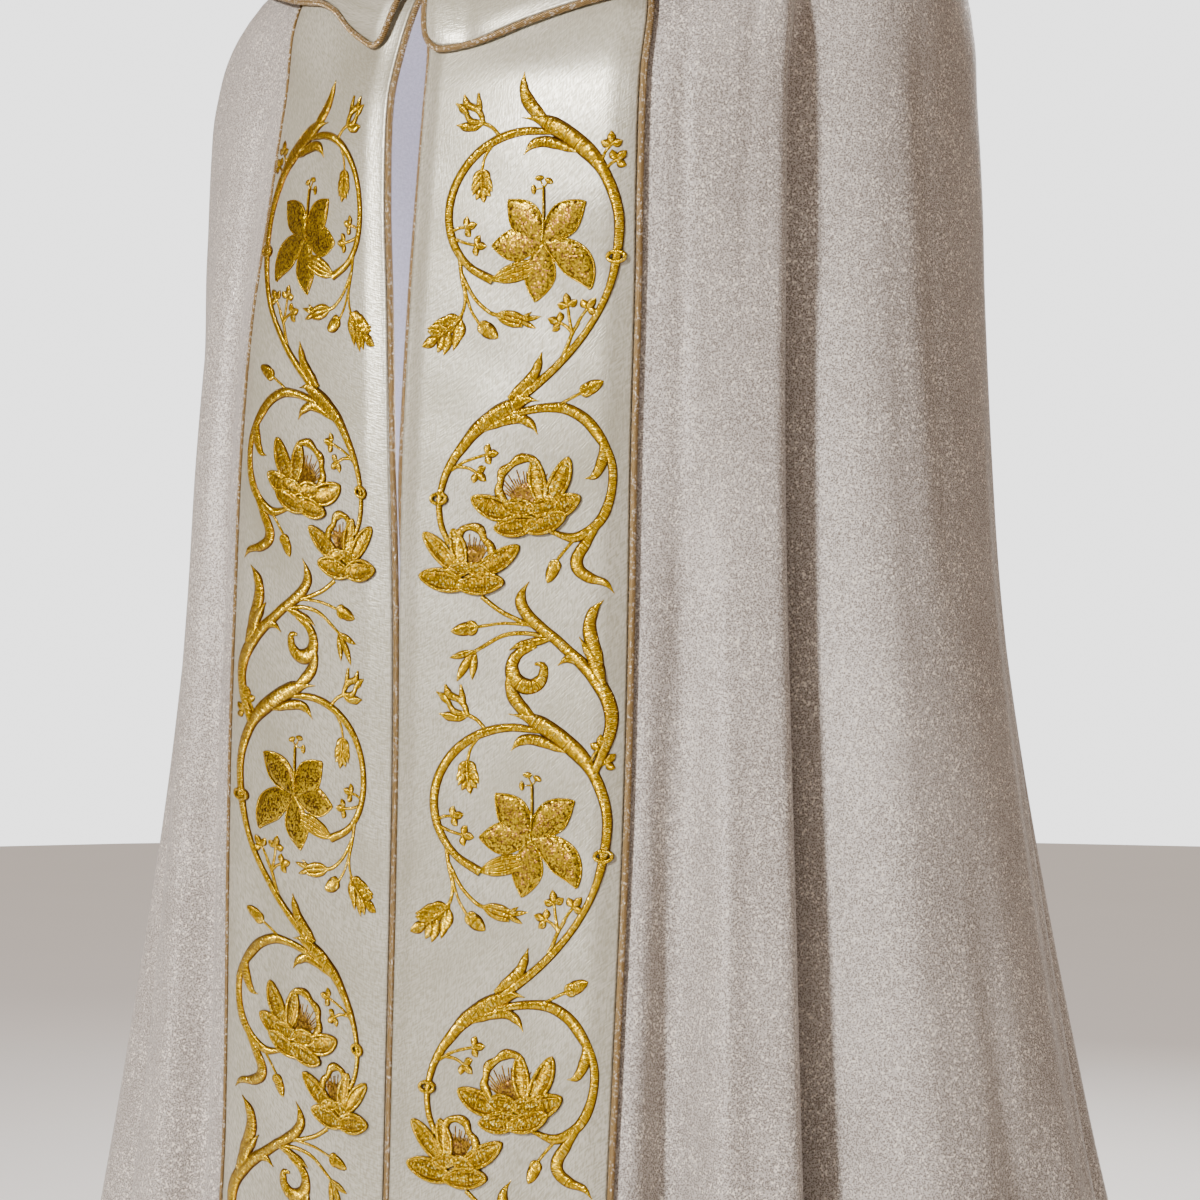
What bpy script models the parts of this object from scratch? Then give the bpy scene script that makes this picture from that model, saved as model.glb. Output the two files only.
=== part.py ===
"""A cope (liturgical cloak), worn: body halves, orphreys, a turned-down collar, piping and a clasp.

Metres, +Z up. The origin is on the shoulder line, at the centre of the neck. The front faces -Y and the
wearer's left is +X. Every cloth piece is a ruled grid worked out from RINGS (the oval that the cloak keeps
at each level) and FOLDS (the troughs that run down between its pipes), given its wall by Solidify.
"""

import math
from collections import namedtuple

import bmesh
import bpy
from mathutils import Vector

# ---- driving dimensions ------------------------------------------------------------------------------
BODY_WALL = 0.002
SATIN_WALL = 0.0015
SEAM = 0.0003  # clearance between pieces that are sewn to each other
BAND_WIDTH = 0.147  # one orphrey, satin edge to satin edge
PIPING_RADIUS = 0.002
COLLAR_LIFT = 0.0092  # collar above the body, both at the middle of their walls
COLLAR_STAND = 0.026  # height of the collar's stand above the neck edge
COLLAR_ROLL = 0.0065  # radius of the roll at the top of the stand
STAND_INSET = 0.0038  # middle of the stand inside the middle of the body wall at the neck
CLASP_WALL = 0.0012
CLASP_HEIGHT = 0.010
CLASP_DROP = 0.098

# The clasp's plates, as strips: distance along the cloth from that side's satin edge, and depth of the
# strip's middle behind the middle of the body wall. The hook steps under the rolled piping and the eye.
Station = namedtuple("Station", "side distance depth")
CLASP_PLATES = {
    "clasp_hook": (
        Station(1, 0.0215, 0.0026),
        Station(1, 0.0080, 0.0026),
        Station(1, 0.0050, 0.0053),
        Station(1, -0.0020, 0.0053),
        Station(-1, -0.0010, 0.0043),
        Station(-1, 0.0065, 0.0043),
    ),
    "clasp_eye": (
        Station(-1, 0.0010, 0.0026),
        Station(-1, 0.0100, 0.0026),
        Station(-1, 0.0195, 0.0026),
    ),
}
# The cloak's oval at each level. drop is how far the ring lies below the origin at the front, side_drop
# and back_drop at the side and back; left_width and right_width reach from the middle to either side; gap
# is the opening between the front edges; left_swing and right_swing (degrees) turn each front to the
# wearer's left.
Ring = namedtuple(
    "Ring",
    "drop side_drop back_drop left_width right_width front_depth back_depth gap left_swing right_swing",
)
RINGS = (
    Ring(0.070, 0.000, -0.012, 0.080, 0.080, 0.115, 0.078, 0.0070, -1.0, 1.0),
    Ring(0.085, 0.017, 0.004, 0.124, 0.126, 0.130, 0.095, 0.0080, -0.6, 3.0),
    Ring(0.100, 0.038, 0.024, 0.176, 0.178, 0.144, 0.111, 0.0090, -0.6, 5.6),
    Ring(0.118, 0.070, 0.054, 0.236, 0.236, 0.158, 0.130, 0.0110, -0.8, 8.4),
    Ring(0.134, 0.106, 0.088, 0.269, 0.266, 0.169, 0.144, 0.0138, 0.7, 11.3),
    Ring(0.165, 0.150, 0.137, 0.279, 0.278, 0.177, 0.157, 0.0252, 4.0, 14.7),
    Ring(0.195, 0.189, 0.182, 0.281, 0.279, 0.184, 0.164, 0.0292, 6.0, 15.0),
    Ring(0.256, 0.255, 0.252, 0.286, 0.279, 0.1895, 0.169, 0.0254, 3.7, 11.3),
    Ring(0.317, 0.317, 0.316, 0.289, 0.281, 0.192, 0.174, 0.0186, 0.2, 6.2),
    Ring(0.408, 0.408, 0.408, 0.296, 0.289, 0.195, 0.184, 0.0112, -2.8, 2.5),
    Ring(0.500, 0.500, 0.500, 0.304, 0.298, 0.195, 0.196, 0.0063, -4.1, 0.3),
    Ring(0.592, 0.592, 0.592, 0.316, 0.312, 0.1955, 0.208, 0.0055, -3.3, -0.5),
    Ring(0.683, 0.683, 0.683, 0.331, 0.329, 0.198, 0.222, 0.0055, -2.1, 0.4),
    Ring(0.774, 0.774, 0.774, 0.348, 0.348, 0.2015, 0.238, 0.0055, -0.4, 1.9),
    Ring(0.866, 0.866, 0.866, 0.367, 0.368, 0.205, 0.255, 0.0055, 1.0, 2.6),
    Ring(1.100, 1.100, 1.100, 0.423, 0.424, 0.219, 0.305, 0.0060, 0.9, 1.5),
    Ring(1.420, 1.420, 1.420, 0.500, 0.500, 0.242, 0.375, 0.0080, 0.0, 0.0),
)

# The troughs of each half, from the orphrey's edge to the centre back. place and width are shares of the
# cloth between those two; the trough begins at the drop starts and is yoke, chest, knee and hem deep at the
# drops named in FOLD_LEVELS; lean is how far its bed lies under the pipe in front, as a share of its depth.
Fold = namedtuple("Fold", "place width starts yoke chest knee hem lean")
FOLD_LEVELS = (0.20, 0.45, 0.90, 1.42)
FOLDS = {
    1: (
        Fold(0.045, 0.080, 0.42, 0.000, 0.003, 0.026, 0.052, -0.45),
        Fold(0.187, 0.115, 0.08, 0.022, 0.032, 0.046, 0.074, -0.95),
        Fold(0.325, 0.130, 0.75, 0.000, 0.000, 0.012, 0.070, -0.20),
        Fold(0.470, 0.150, 0.12, 0.007, 0.022, 0.052, 0.090, 0.20),
        Fold(0.630, 0.140, 0.35, 0.000, 0.008, 0.036, 0.085, -0.25),
        Fold(0.780, 0.140, 0.15, 0.004, 0.018, 0.046, 0.090, 0.25),
        Fold(0.925, 0.125, 0.28, 0.000, 0.012, 0.040, 0.080, 0.15),
    ),
    -1: (
        Fold(0.060, 0.095, 0.13, 0.005, 0.014, 0.030, 0.055, 0.40),
        Fold(0.200, 0.130, 0.26, 0.000, 0.014, 0.040, 0.080, -0.45),
        Fold(0.345, 0.140, 0.12, 0.007, 0.022, 0.046, 0.085, 0.25),
        Fold(0.490, 0.135, 0.60, 0.000, 0.000, 0.024, 0.078, -0.20),
        Fold(0.635, 0.140, 0.14, 0.006, 0.020, 0.050, 0.092, 0.30),
        Fold(0.785, 0.140, 0.30, 0.000, 0.010, 0.040, 0.085, -0.25),
        Fold(0.925, 0.125, 0.18, 0.001, 0.014, 0.042, 0.082, -0.15),
    ),
}

# The collar's outer edge on each half: the front drop of the ring that it lies on, at shares of the way
# round from the front corner to the centre back.
Edge = namedtuple("Edge", "share drop")
COLLAR_EDGE = {
    1: (
        Edge(0.00, 0.166),
        Edge(0.05, 0.165),
        Edge(0.10, 0.157),
        Edge(0.16, 0.150),
        Edge(0.45, 0.128),
        Edge(0.70, 0.127),
        Edge(1.00, 0.140),
    ),
    -1: (
        Edge(0.00, 0.158),
        Edge(0.05, 0.143),
        Edge(0.10, 0.128),
        Edge(0.16, 0.121),
        Edge(0.45, 0.118),
        Edge(0.70, 0.124),
        Edge(1.00, 0.140),
    ),
}

# Where each half's front edge lies, measured along the cloth from the satin's edge: body_start is the
# body's own edge, piping_out and piping_sink place the front piping (out past the satin, and below it).
# On the wearer's left it is rolled under, so that only a sliver shows, and on the wearer's right the piping
# of the outer edge is rolled flat. collar_top and collar_corner place the collar's front edge.
Front = namedtuple(
    "Front", "body_start piping_out piping_sink outer_radius collar_top collar_corner corner_radius"
)
FRONTS = {
    1: Front(0.0036, -0.0012, 0.0030, 0.0020, 0.003, 0.0035, 0.014),
    -1: Front(0.0, 0.0023, 0.0, 0.0012, 0.0025, 0.0135, 0.006),
}

# ---- mesh density ------------------------------------------------------------------------------------
ROW_DROPS = (
    0.070, 0.084, 0.100, 0.118, 0.140, 0.165, 0.195, 0.256, 0.317, 0.408, 0.500,
    0.640, 0.820, 1.010, 1.210, 1.420,
)
BAND_COLUMNS = (0.0, 0.030, 0.060, 0.090, 0.120, BAND_WIDTH)
PIPING_CLEAR = 0.0007  # outer piping off the satin's edge and off the body
PIPING_LEDGE = 0.0070  # strip of body that carries the outer piping, before the folds begin
FOLD_STATIONS = (-1.0, -0.68, -0.28, 0.28, 0.68, 1.0)  # columns across a trough, in half widths
COLUMN_MARGIN = 0.01  # no fold column nearer than this share to the orphrey's edge or the centre back
COLUMN_SPACING = 0.008  # columns nearer to each other than this share are one
CREST_SPACING = 0.02  # a pipe between two troughs wider than this share has a column on its crest
PIPING_GAP = 0.0005  # collar piping off the collar's edge
MITRE_LIMIT = 0.5  # cosine past which a corner's mitre grows no longer
OVAL_SAMPLES = 160
SLOPE_STEP = 0.002  # distance over which the cloth's normal is measured
SWING_FADE = (0.16, 0.36)  # the swing of the fronts dies out between these distances from the edge


# ---- the cloak's form --------------------------------------------------------------------------------
def row_at(table, key):
    """The table's row at any value of its first column, on a smooth curve through its rows."""
    last = len(table) - 1
    i = max(k for k in range(last) if table[k][0] <= key or k == 0)
    a, b = table[i], table[i + 1]
    span = b[0] - a[0]
    t = (key - a[0]) / span

    def slope(k, column):
        lo, hi = table[max(k - 1, 0)], table[min(k + 1, last)]
        return (hi[column] - lo[column]) / (hi[0] - lo[0])

    values = []
    for column, value in enumerate(a):
        rise = b[column] - value
        start, end = slope(i, column) * span, slope(i + 1, column) * span
        curve = ((start + end - 2 * rise) * t + 3 * rise - 2 * start - end) * t * t + start * t
        values.append(value + curve)
    return type(a)(*values)


def smoothstep(t):
    t = min(max(t, 0.0), 1.0)
    return t * t * (3 - 2 * t)


class Oval:
    """One half of a ring, as points at known distances along the cloth from its front edge."""

    def __init__(self, side, drop):
        self.side, ring = side, row_at(RINGS, drop)
        swing = math.tan(math.radians(ring.left_swing if side > 0 else ring.right_swing))
        self.points, self.along = [], []
        flat, before = 0.0, None
        for k in range(OVAL_SAMPLES + 1):
            turn = math.pi * k / OVAL_SAMPLES
            front = turn <= math.pi / 2
            depth = ring.front_depth if front else ring.back_depth
            end_drop = ring.drop if front else ring.back_drop
            width = ring.left_width if side > 0 else ring.right_width
            x, y = width * math.sin(turn), -depth * math.cos(turn)
            z = -ring.side_drop - (end_drop - ring.side_drop) * math.cos(turn) ** 2
            point = Vector((x, y, z))
            flat += (point - before).length if before else 0.0
            before = point
            fade = 1 - smoothstep((flat - SWING_FADE[0]) / (SWING_FADE[1] - SWING_FADE[0]))
            y -= side * swing * min(flat, BAND_WIDTH) * fade
            back = k / OVAL_SAMPLES
            shift = 0.5 * ring.gap * (1 - back) + 0.5 * SEAM * back
            self.points.append(Vector((side * (x + shift), y, z)))
        for k, point in enumerate(self.points):
            self.along.append(self.along[-1] + (point - self.points[k - 1]).length if k else 0.0)

    def at(self, distance):
        """The point that far along the cloth; past either end it runs straight on."""
        k = 1
        while k < OVAL_SAMPLES and self.along[k] < distance:
            k += 1
        share = (distance - self.along[k - 1]) / (self.along[k] - self.along[k - 1])
        return self.points[k - 1].lerp(self.points[k], share)

    def distance_of(self, share):
        """The distance along the cloth of a share of the folded cloth, from orphrey edge to centre back."""
        start = BAND_WIDTH + PIPING_LEDGE
        return start + share * (self.along[-1] - start)


def fold_depth(fold, drop):
    """How deep the trough is at that drop: nothing above its start, then its named depths."""
    levels = (fold.starts,) + tuple(level for level in FOLD_LEVELS if level > fold.starts)
    depths = (0.0,) + (fold.yoke, fold.chest, fold.knee, fold.hem)[-(len(levels) - 1):]
    if drop <= levels[0]:
        return 0.0
    k = 1
    while k < len(levels) - 1 and levels[k] < drop:
        k += 1
    t = (drop - levels[k - 1]) / (levels[k] - levels[k - 1])
    eased = t * t * (3 - 2 * t) if k == 1 else t
    return depths[k - 1] + (depths[k] - depths[k - 1]) * eased


class Half:
    """One half of the cloak as a surface: drop down the front, distance along the cloth."""

    def __init__(self, side):
        self.side, self.ovals = side, {}

    def oval(self, drop):
        key = round(drop, 6)
        if key not in self.ovals:
            self.ovals[key] = Oval(self.side, drop)
        return self.ovals[key]

    def axes(self, drop, distance):
        """The cloth's outward normal and its level direction, without the folds."""
        here = self.oval(drop)
        low = self.oval(min(drop + SLOPE_STEP, RINGS[-1].drop))
        high = self.oval(max(drop - SLOPE_STEP, RINGS[0].drop))
        level = (here.at(distance + SLOPE_STEP) - here.at(distance - SLOPE_STEP)).normalized()
        down = (low.at(distance) - high.at(distance)).normalized()
        normal = self.side * down.cross(level)
        return normal.normalized(), level

    def point(self, drop, distance, lift=0.0):
        """A point of the smooth oval, moved out from the cloth by lift."""
        normal, _ = self.axes(drop, distance)
        return self.oval(drop).at(distance) + lift * normal

    def folded(self, drop, share):
        """A point of the folded cloth between the orphrey and the centre back."""
        distance = self.oval(drop).distance_of(share)
        point = self.oval(drop).at(distance)
        normal, level = self.axes(drop, distance)
        for fold in FOLDS[self.side]:
            across = (share - fold.place) / (0.5 * fold.width)
            if abs(across) < 1.0:
                bed = fold_depth(fold, drop) * math.cos(0.5 * math.pi * across) ** 2
                point = point - bed * normal + fold.lean * bed * level
        return point


HALVES = {1: Half(1), -1: Half(-1)}
SIDE_NAMES = {1: "left", -1: "right"}


# ---- Blender helpers ---------------------------------------------------------------------------------
def clear_scene():
    for obj in list(bpy.data.objects):
        bpy.data.objects.remove(obj, do_unlink=True)


def material(name, rgb, roughness, metallic=0.0):
    made = bpy.data.materials.new(name)
    made.use_nodes = True
    shader = made.node_tree.nodes["Principled BSDF"]
    shader.inputs["Base Color"].default_value = (*rgb, 1.0)
    shader.inputs["Roughness"].default_value = roughness
    shader.inputs["Metallic"].default_value = metallic
    made.diffuse_color = (*rgb, 1.0)
    return made


def add_object(name, data, finish, collection):
    obj = bpy.data.objects.new(name, data)
    obj.data.materials.append(finish)
    collection.objects.link(obj)
    return obj


def grid_object(name, rows, wall, finish, collection, outward):
    """A sheet through rows of points, thickened to both sides into a closed wall."""
    mesh = bpy.data.meshes.new(name)
    grid = bmesh.new()
    verts = [[grid.verts.new(point) for point in row] for row in rows]
    for upper, lower in zip(verts, verts[1:]):
        for k in range(len(upper) - 1):
            corners = (upper[k], lower[k], lower[k + 1], upper[k + 1])
            grid.faces.new(corners if outward > 0 else corners[::-1])
    grid.to_mesh(mesh)
    grid.free()
    mesh.shade_smooth()
    obj = add_object(name, mesh, finish, collection)
    solid = obj.modifiers.new("wall", "SOLIDIFY")
    solid.thickness = wall
    solid.offset = 0.0
    return obj


def tube_object(name, points, radius, finish, collection):
    """A piping cord along points, as a round tube with capped ends."""
    curve = bpy.data.curves.new(name, "CURVE")
    curve.dimensions = "3D"
    curve.bevel_depth = radius
    curve.bevel_resolution = 2
    curve.use_fill_caps = True
    spline = curve.splines.new("POLY")
    spline.points.add(len(points) - 1)
    for target, point in zip(spline.points, points):
        target.co = (*point, 1.0)
    return add_object(name, curve, finish, collection)


# ---- the pieces --------------------------------------------------------------------------------------
def fold_columns(side):
    """Shares of the folded cloth that its columns stand at: each trough's stations and the pipe crests."""
    shares = set()
    folds = FOLDS[side]
    for fold in folds:
        shares.update(fold.place + 0.5 * fold.width * station for station in FOLD_STATIONS)
    for before, after in zip(folds, folds[1:]):
        crest_from = before.place + 0.5 * before.width
        crest_to = after.place - 0.5 * after.width
        if crest_to - crest_from > CREST_SPACING:
            shares.add(0.5 * (crest_from + crest_to))
    inside = sorted(share for share in shares if COLUMN_MARGIN < share < 1 - COLUMN_MARGIN)
    spread = [inside[0]]
    for share in inside[1:]:
        if share - spread[-1] > COLUMN_SPACING:
            spread.append(share)
    return [0.0] + spread + [1.0]


def body_half(side, finish, collection):
    half, start = HALVES[side], FRONTS[side].body_start
    rows = []
    for drop in ROW_DROPS:
        band = [half.point(drop, start)] + [half.point(drop, s) for s in BAND_COLUMNS[1:]]
        rows.append(band + [half.folded(drop, share) for share in fold_columns(side)])
    return grid_object(f"cope_{SIDE_NAMES[side]}", rows, BODY_WALL, finish, collection, side)


def orphrey(side, finish, collection):
    half = HALVES[side]
    lift = 0.5 * BODY_WALL + SEAM + 0.5 * SATIN_WALL
    columns = sorted({*BAND_COLUMNS, FRONTS[side].body_start})
    rows = [[half.point(drop, s, lift) for s in columns] for drop in ROW_DROPS]
    return grid_object(f"orphrey_{SIDE_NAMES[side]}", rows, SATIN_WALL, finish, collection, side)


def front_piping(side, finish, collection):
    """The cord at the front edge, level with the middle of body and satin, or rolled under the satin."""
    front, half = FRONTS[side], HALVES[side]
    middle = 0.5 * (SEAM + SATIN_WALL)
    points = [half.point(drop, -front.piping_out, middle - front.piping_sink) for drop in ROW_DROPS]
    return tube_object(f"front_piping_{SIDE_NAMES[side]}", points, PIPING_RADIUS, finish, collection)


def outer_piping(side, finish, collection):
    """The cord beside the orphrey's outer edge, lying on the body."""
    radius = FRONTS[side].outer_radius
    lift = 0.5 * BODY_WALL + PIPING_CLEAR + radius
    distance = BAND_WIDTH + PIPING_CLEAR + radius
    points = [HALVES[side].point(drop, distance, lift) for drop in ROW_DROPS]
    return tube_object(f"outer_piping_{SIDE_NAMES[side]}", points, radius, finish, collection)


COLLAR_SHARES = (0.0, 0.02, 0.05, 0.09, 0.14, 0.20, 0.27, 0.34, 0.42, 0.51, 0.60, 0.70, 0.80, 0.90, 1.0)
COLLAR_FALL = (0.18, 0.42, 0.70, 1.0)  # rows of the turned-down part, as shares of its fall
ROLL_TURNS = (60.0, 120.0, 180.0)


def collar_distance(side, drop, share):
    """Distance along the ring of a column of the collar, between its own front edge and the centre back."""
    front = FRONTS[side]
    fall = (drop - ROW_DROPS[0]) / (COLLAR_EDGE[side][0].drop - ROW_DROPS[0])
    start = front.collar_top + (front.collar_corner - front.collar_top) * max(fall, 0.0)
    return start + share * (HALVES[side].oval(drop).along[-1] - start)


def collar_edge_drop(side, share):
    """Front drop of the outer edge at a column, rounded up at the front corner."""
    drop = row_at(COLLAR_EDGE[side], share).drop
    radius = FRONTS[side].corner_radius
    inside = collar_distance(side, drop, share) - collar_distance(side, drop, 0.0)
    if inside < radius:
        drop -= radius * (1 - math.sqrt(max(1 - (1 - inside / radius) ** 2, 0.0)))
    return drop


def collar_fall_point(side, share, fall):
    """A point of the turned-down part: fall runs from the neck ring (0) to the outer edge (1)."""
    drop = ROW_DROPS[0] + fall * (collar_edge_drop(side, share) - ROW_DROPS[0])
    return HALVES[side].point(drop, collar_distance(side, drop, share), COLLAR_LIFT)


def collar_column(side, share):
    """One column of the collar, from the neck seam up the stand, over the roll and down to its edge."""
    half, up = HALVES[side], Vector((0.0, 0.0, 1.0))
    neck = half.point(ROW_DROPS[0], collar_distance(side, ROW_DROPS[0], share))
    normal, _ = half.axes(ROW_DROPS[0], collar_distance(side, ROW_DROPS[0], share))
    out = Vector((normal.x, normal.y, 0.0)).normalized()
    foot = neck - STAND_INSET * out + SEAM * up
    top = foot + COLLAR_STAND * up
    column = [foot, top]
    for turn in ROLL_TURNS:
        angle = math.radians(turn)
        column.append(top + COLLAR_ROLL * ((1 - math.cos(angle)) * out + math.sin(angle) * up))
    return column + [collar_fall_point(side, share, fall) for fall in COLLAR_FALL]


def collar(finish, collection):
    """The whole collar in one piece, from one front edge round the back of the neck to the other."""
    columns = [collar_column(1, share) for share in COLLAR_SHARES]
    columns += [collar_column(-1, share) for share in COLLAR_SHARES[-2::-1]]
    rows = [list(row) for row in zip(*columns)]
    return grid_object("collar", rows, SATIN_WALL, finish, collection, 1)


def collar_edge(side):
    """The collar's edge on one half, as (point, normal): down the front edge, then along the bottom."""
    stations = [(0.0, fall) for fall in COLLAR_FALL[:-1]] + [(share, 1.0) for share in COLLAR_SHARES]
    edge = []
    for share, fall in stations:
        point = collar_fall_point(side, share, fall)
        drop = ROW_DROPS[0] + fall * (collar_edge_drop(side, share) - ROW_DROPS[0])
        normal, _ = HALVES[side].axes(drop, collar_distance(side, drop, share))
        edge.append((point, normal))
    return edge


def beside(edge, gap):
    """The edge's points moved out sideways, in the cloth's plane, until they lie gap clear of it."""
    moved = []
    for k, (point, normal) in enumerate(edge):
        steps = [j for j in (k - 1, k) if 0 <= j < len(edge) - 1]
        runs = [(edge[j + 1][0] - edge[j][0]).normalized() for j in steps]
        sideways = [run.cross(normal).normalized() for run in runs]
        middle = sum(sideways, Vector()).normalized()
        moved.append(point + gap / max(middle.dot(sideways[0]), MITRE_LIMIT) * middle)
    return moved


def collar_piping(finish, collection):
    """The cord round the collar's edge: down one front edge, round the back and up the other."""
    edge = collar_edge(1)[:-1] + collar_edge(-1)[::-1]
    points = beside(edge, PIPING_RADIUS + PIPING_GAP)
    return tube_object("collar_piping", points, PIPING_RADIUS, finish, collection)


def clasp(finish, collection):
    """A hook plate and an eye plate, each sewn behind its own front edge, hooked into each other."""
    for name, stations in CLASP_PLATES.items():
        rows = [
            [HALVES[at.side].point(CLASP_DROP + level, at.distance, -at.depth) for at in stations]
            for level in (-0.5 * CLASP_HEIGHT, 0.5 * CLASP_HEIGHT)
        ]
        # The stations run to the wearer's right, so the rows are wound the other way.
        grid_object(name, rows, CLASP_WALL, finish, collection, -1)


def main():
    clear_scene()
    collection = bpy.data.collections.new("cope_vestment")
    bpy.context.scene.collection.children.link(collection)
    crepe = material("lame_crepe_ivory", (0.56, 0.50, 0.46), 0.62)
    satin = material("duchess_satin_ivory", (0.72, 0.69, 0.63), 0.42)
    lame = material("gold_lame_piping", (0.46, 0.33, 0.14), 0.45, 0.35)
    brass = material("gilt_brass_clasp", (0.62, 0.46, 0.20), 0.32, 1.0)
    for side in (1, -1):
        body_half(side, crepe, collection)
        orphrey(side, satin, collection)
        front_piping(side, lame, collection)
        outer_piping(side, lame, collection)
    collar(satin, collection)
    collar_piping(lame, collection)
    clasp(brass, collection)


main()
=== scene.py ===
"""The looks of a worn cope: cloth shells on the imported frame, embroidery, piping, clasp and studio.

Metres in the frame's own axes: +Z up, the open front faces -Y, the wearer's left is +X. Every cloth piece
lies on the same form as its solid: RINGS give the oval of the cloak at each drop, FOLDS and CREASES its
troughs. The embroidery is drawn in millimetres on the flat band and then laid on the satin.
"""

import math
from collections import namedtuple

import bpy
import numpy as np
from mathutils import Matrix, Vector


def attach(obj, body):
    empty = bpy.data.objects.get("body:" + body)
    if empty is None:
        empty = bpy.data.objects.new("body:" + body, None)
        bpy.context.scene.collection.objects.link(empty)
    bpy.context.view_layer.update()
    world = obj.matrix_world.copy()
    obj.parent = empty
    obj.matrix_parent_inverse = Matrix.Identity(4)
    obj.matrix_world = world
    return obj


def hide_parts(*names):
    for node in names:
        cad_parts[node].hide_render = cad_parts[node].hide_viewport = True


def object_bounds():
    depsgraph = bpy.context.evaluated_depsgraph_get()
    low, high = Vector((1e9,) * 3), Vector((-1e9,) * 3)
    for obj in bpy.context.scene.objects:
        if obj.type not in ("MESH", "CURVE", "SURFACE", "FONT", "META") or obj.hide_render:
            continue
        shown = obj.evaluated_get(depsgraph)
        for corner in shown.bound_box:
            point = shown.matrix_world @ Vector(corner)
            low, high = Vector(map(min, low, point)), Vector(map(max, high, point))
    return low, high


bl_info = {
    "name": "Cope vestment",
    "version": (1, 0, 0),
    "blender": (4, 5, 0),
    "location": "View3D > Sidebar > Cope",
    "description": "Cloth, embroidery, piping, clasp and studio of a worn cope",
    "category": "Add Mesh",
}

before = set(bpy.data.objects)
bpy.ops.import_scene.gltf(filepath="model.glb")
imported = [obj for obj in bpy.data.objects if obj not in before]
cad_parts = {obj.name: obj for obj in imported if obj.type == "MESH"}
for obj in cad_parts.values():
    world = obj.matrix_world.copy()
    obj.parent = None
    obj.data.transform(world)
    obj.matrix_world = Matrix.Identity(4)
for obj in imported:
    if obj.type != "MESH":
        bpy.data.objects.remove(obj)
CAD_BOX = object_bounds()

# ---- the cloak's form, in metres ----------------------------------------------------------------------
BODY_WALL = 0.002
SATIN_WALL = 0.0015
SEAM = 0.0003  # clearance between pieces that are sewn to each other
BAND_WIDTH = 0.147
PIPING_RADIUS = 0.002
PIPING_CLEAR = 0.0007
PIPING_LEDGE = 0.0070
PIPING_GAP = 0.0005
COLLAR_LIFT = 0.0092
COLLAR_STAND = 0.026
COLLAR_ROLL = 0.0065
STAND_INSET = 0.0038
SWING_FADE = (0.16, 0.36)
OVAL_SAMPLES = 1200
CORD_SIDES, CORD_POINTS = 14, 420
CORD_END = 0.3  # a cord's ends are drawn in to this share of its radius and sewn shut
NORMAL_STEP = 0.006  # distance over which the cloth's normal is measured
NECK_DROP, HEM_DROP = 0.070, 1.420
SIDES = {1: "left", -1: "right"}  # of the wearer

# The cloak's rings from the neck seam to the hem. The drops are below the top of the shoulders, in front, at
# the side and behind; widths and depths are from the middle line; gap is between the fronts, and swing turns
# each front forward or back, in degrees.
Ring = namedtuple(
    "Ring",
    "drop side_drop back_drop left_width right_width front_depth back_depth gap left_swing right_swing",
)
RINGS = (
    Ring(0.070, 0.000, -0.012, 0.080, 0.080, 0.115, 0.078, 0.0070, -1.0, 1.0),
    Ring(0.085, 0.017, 0.004, 0.124, 0.126, 0.130, 0.095, 0.0080, -0.6, 3.0),
    Ring(0.100, 0.038, 0.024, 0.176, 0.178, 0.144, 0.111, 0.0090, -0.6, 5.6),
    Ring(0.118, 0.070, 0.054, 0.236, 0.236, 0.158, 0.130, 0.0110, -0.8, 8.4),
    Ring(0.134, 0.106, 0.088, 0.269, 0.266, 0.169, 0.144, 0.0138, 0.7, 11.3),
    Ring(0.165, 0.150, 0.137, 0.279, 0.278, 0.177, 0.157, 0.0252, 4.0, 14.7),
    Ring(0.195, 0.189, 0.182, 0.281, 0.279, 0.184, 0.164, 0.0292, 6.0, 15.0),
    Ring(0.256, 0.255, 0.252, 0.286, 0.279, 0.1895, 0.169, 0.0254, 3.7, 11.3),
    Ring(0.317, 0.317, 0.316, 0.289, 0.281, 0.192, 0.174, 0.0186, 0.2, 6.2),
    Ring(0.408, 0.408, 0.408, 0.296, 0.289, 0.195, 0.184, 0.0112, -2.8, 2.5),
    Ring(0.500, 0.500, 0.500, 0.304, 0.298, 0.195, 0.196, 0.0063, -4.1, 0.3),
    Ring(0.592, 0.592, 0.592, 0.316, 0.312, 0.1955, 0.208, 0.0055, -3.3, -0.5),
    Ring(0.683, 0.683, 0.683, 0.331, 0.329, 0.198, 0.222, 0.0055, -2.1, 0.4),
    Ring(0.774, 0.774, 0.774, 0.348, 0.348, 0.2015, 0.238, 0.0055, -0.4, 1.9),
    Ring(0.866, 0.866, 0.866, 0.367, 0.368, 0.205, 0.255, 0.0055, 1.0, 2.6),
    Ring(1.100, 1.100, 1.100, 0.423, 0.424, 0.219, 0.305, 0.0060, 0.9, 1.5),
    Ring(1.420, 1.420, 1.420, 0.500, 0.500, 0.242, 0.375, 0.0080, 0.0, 0.0),
)

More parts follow.
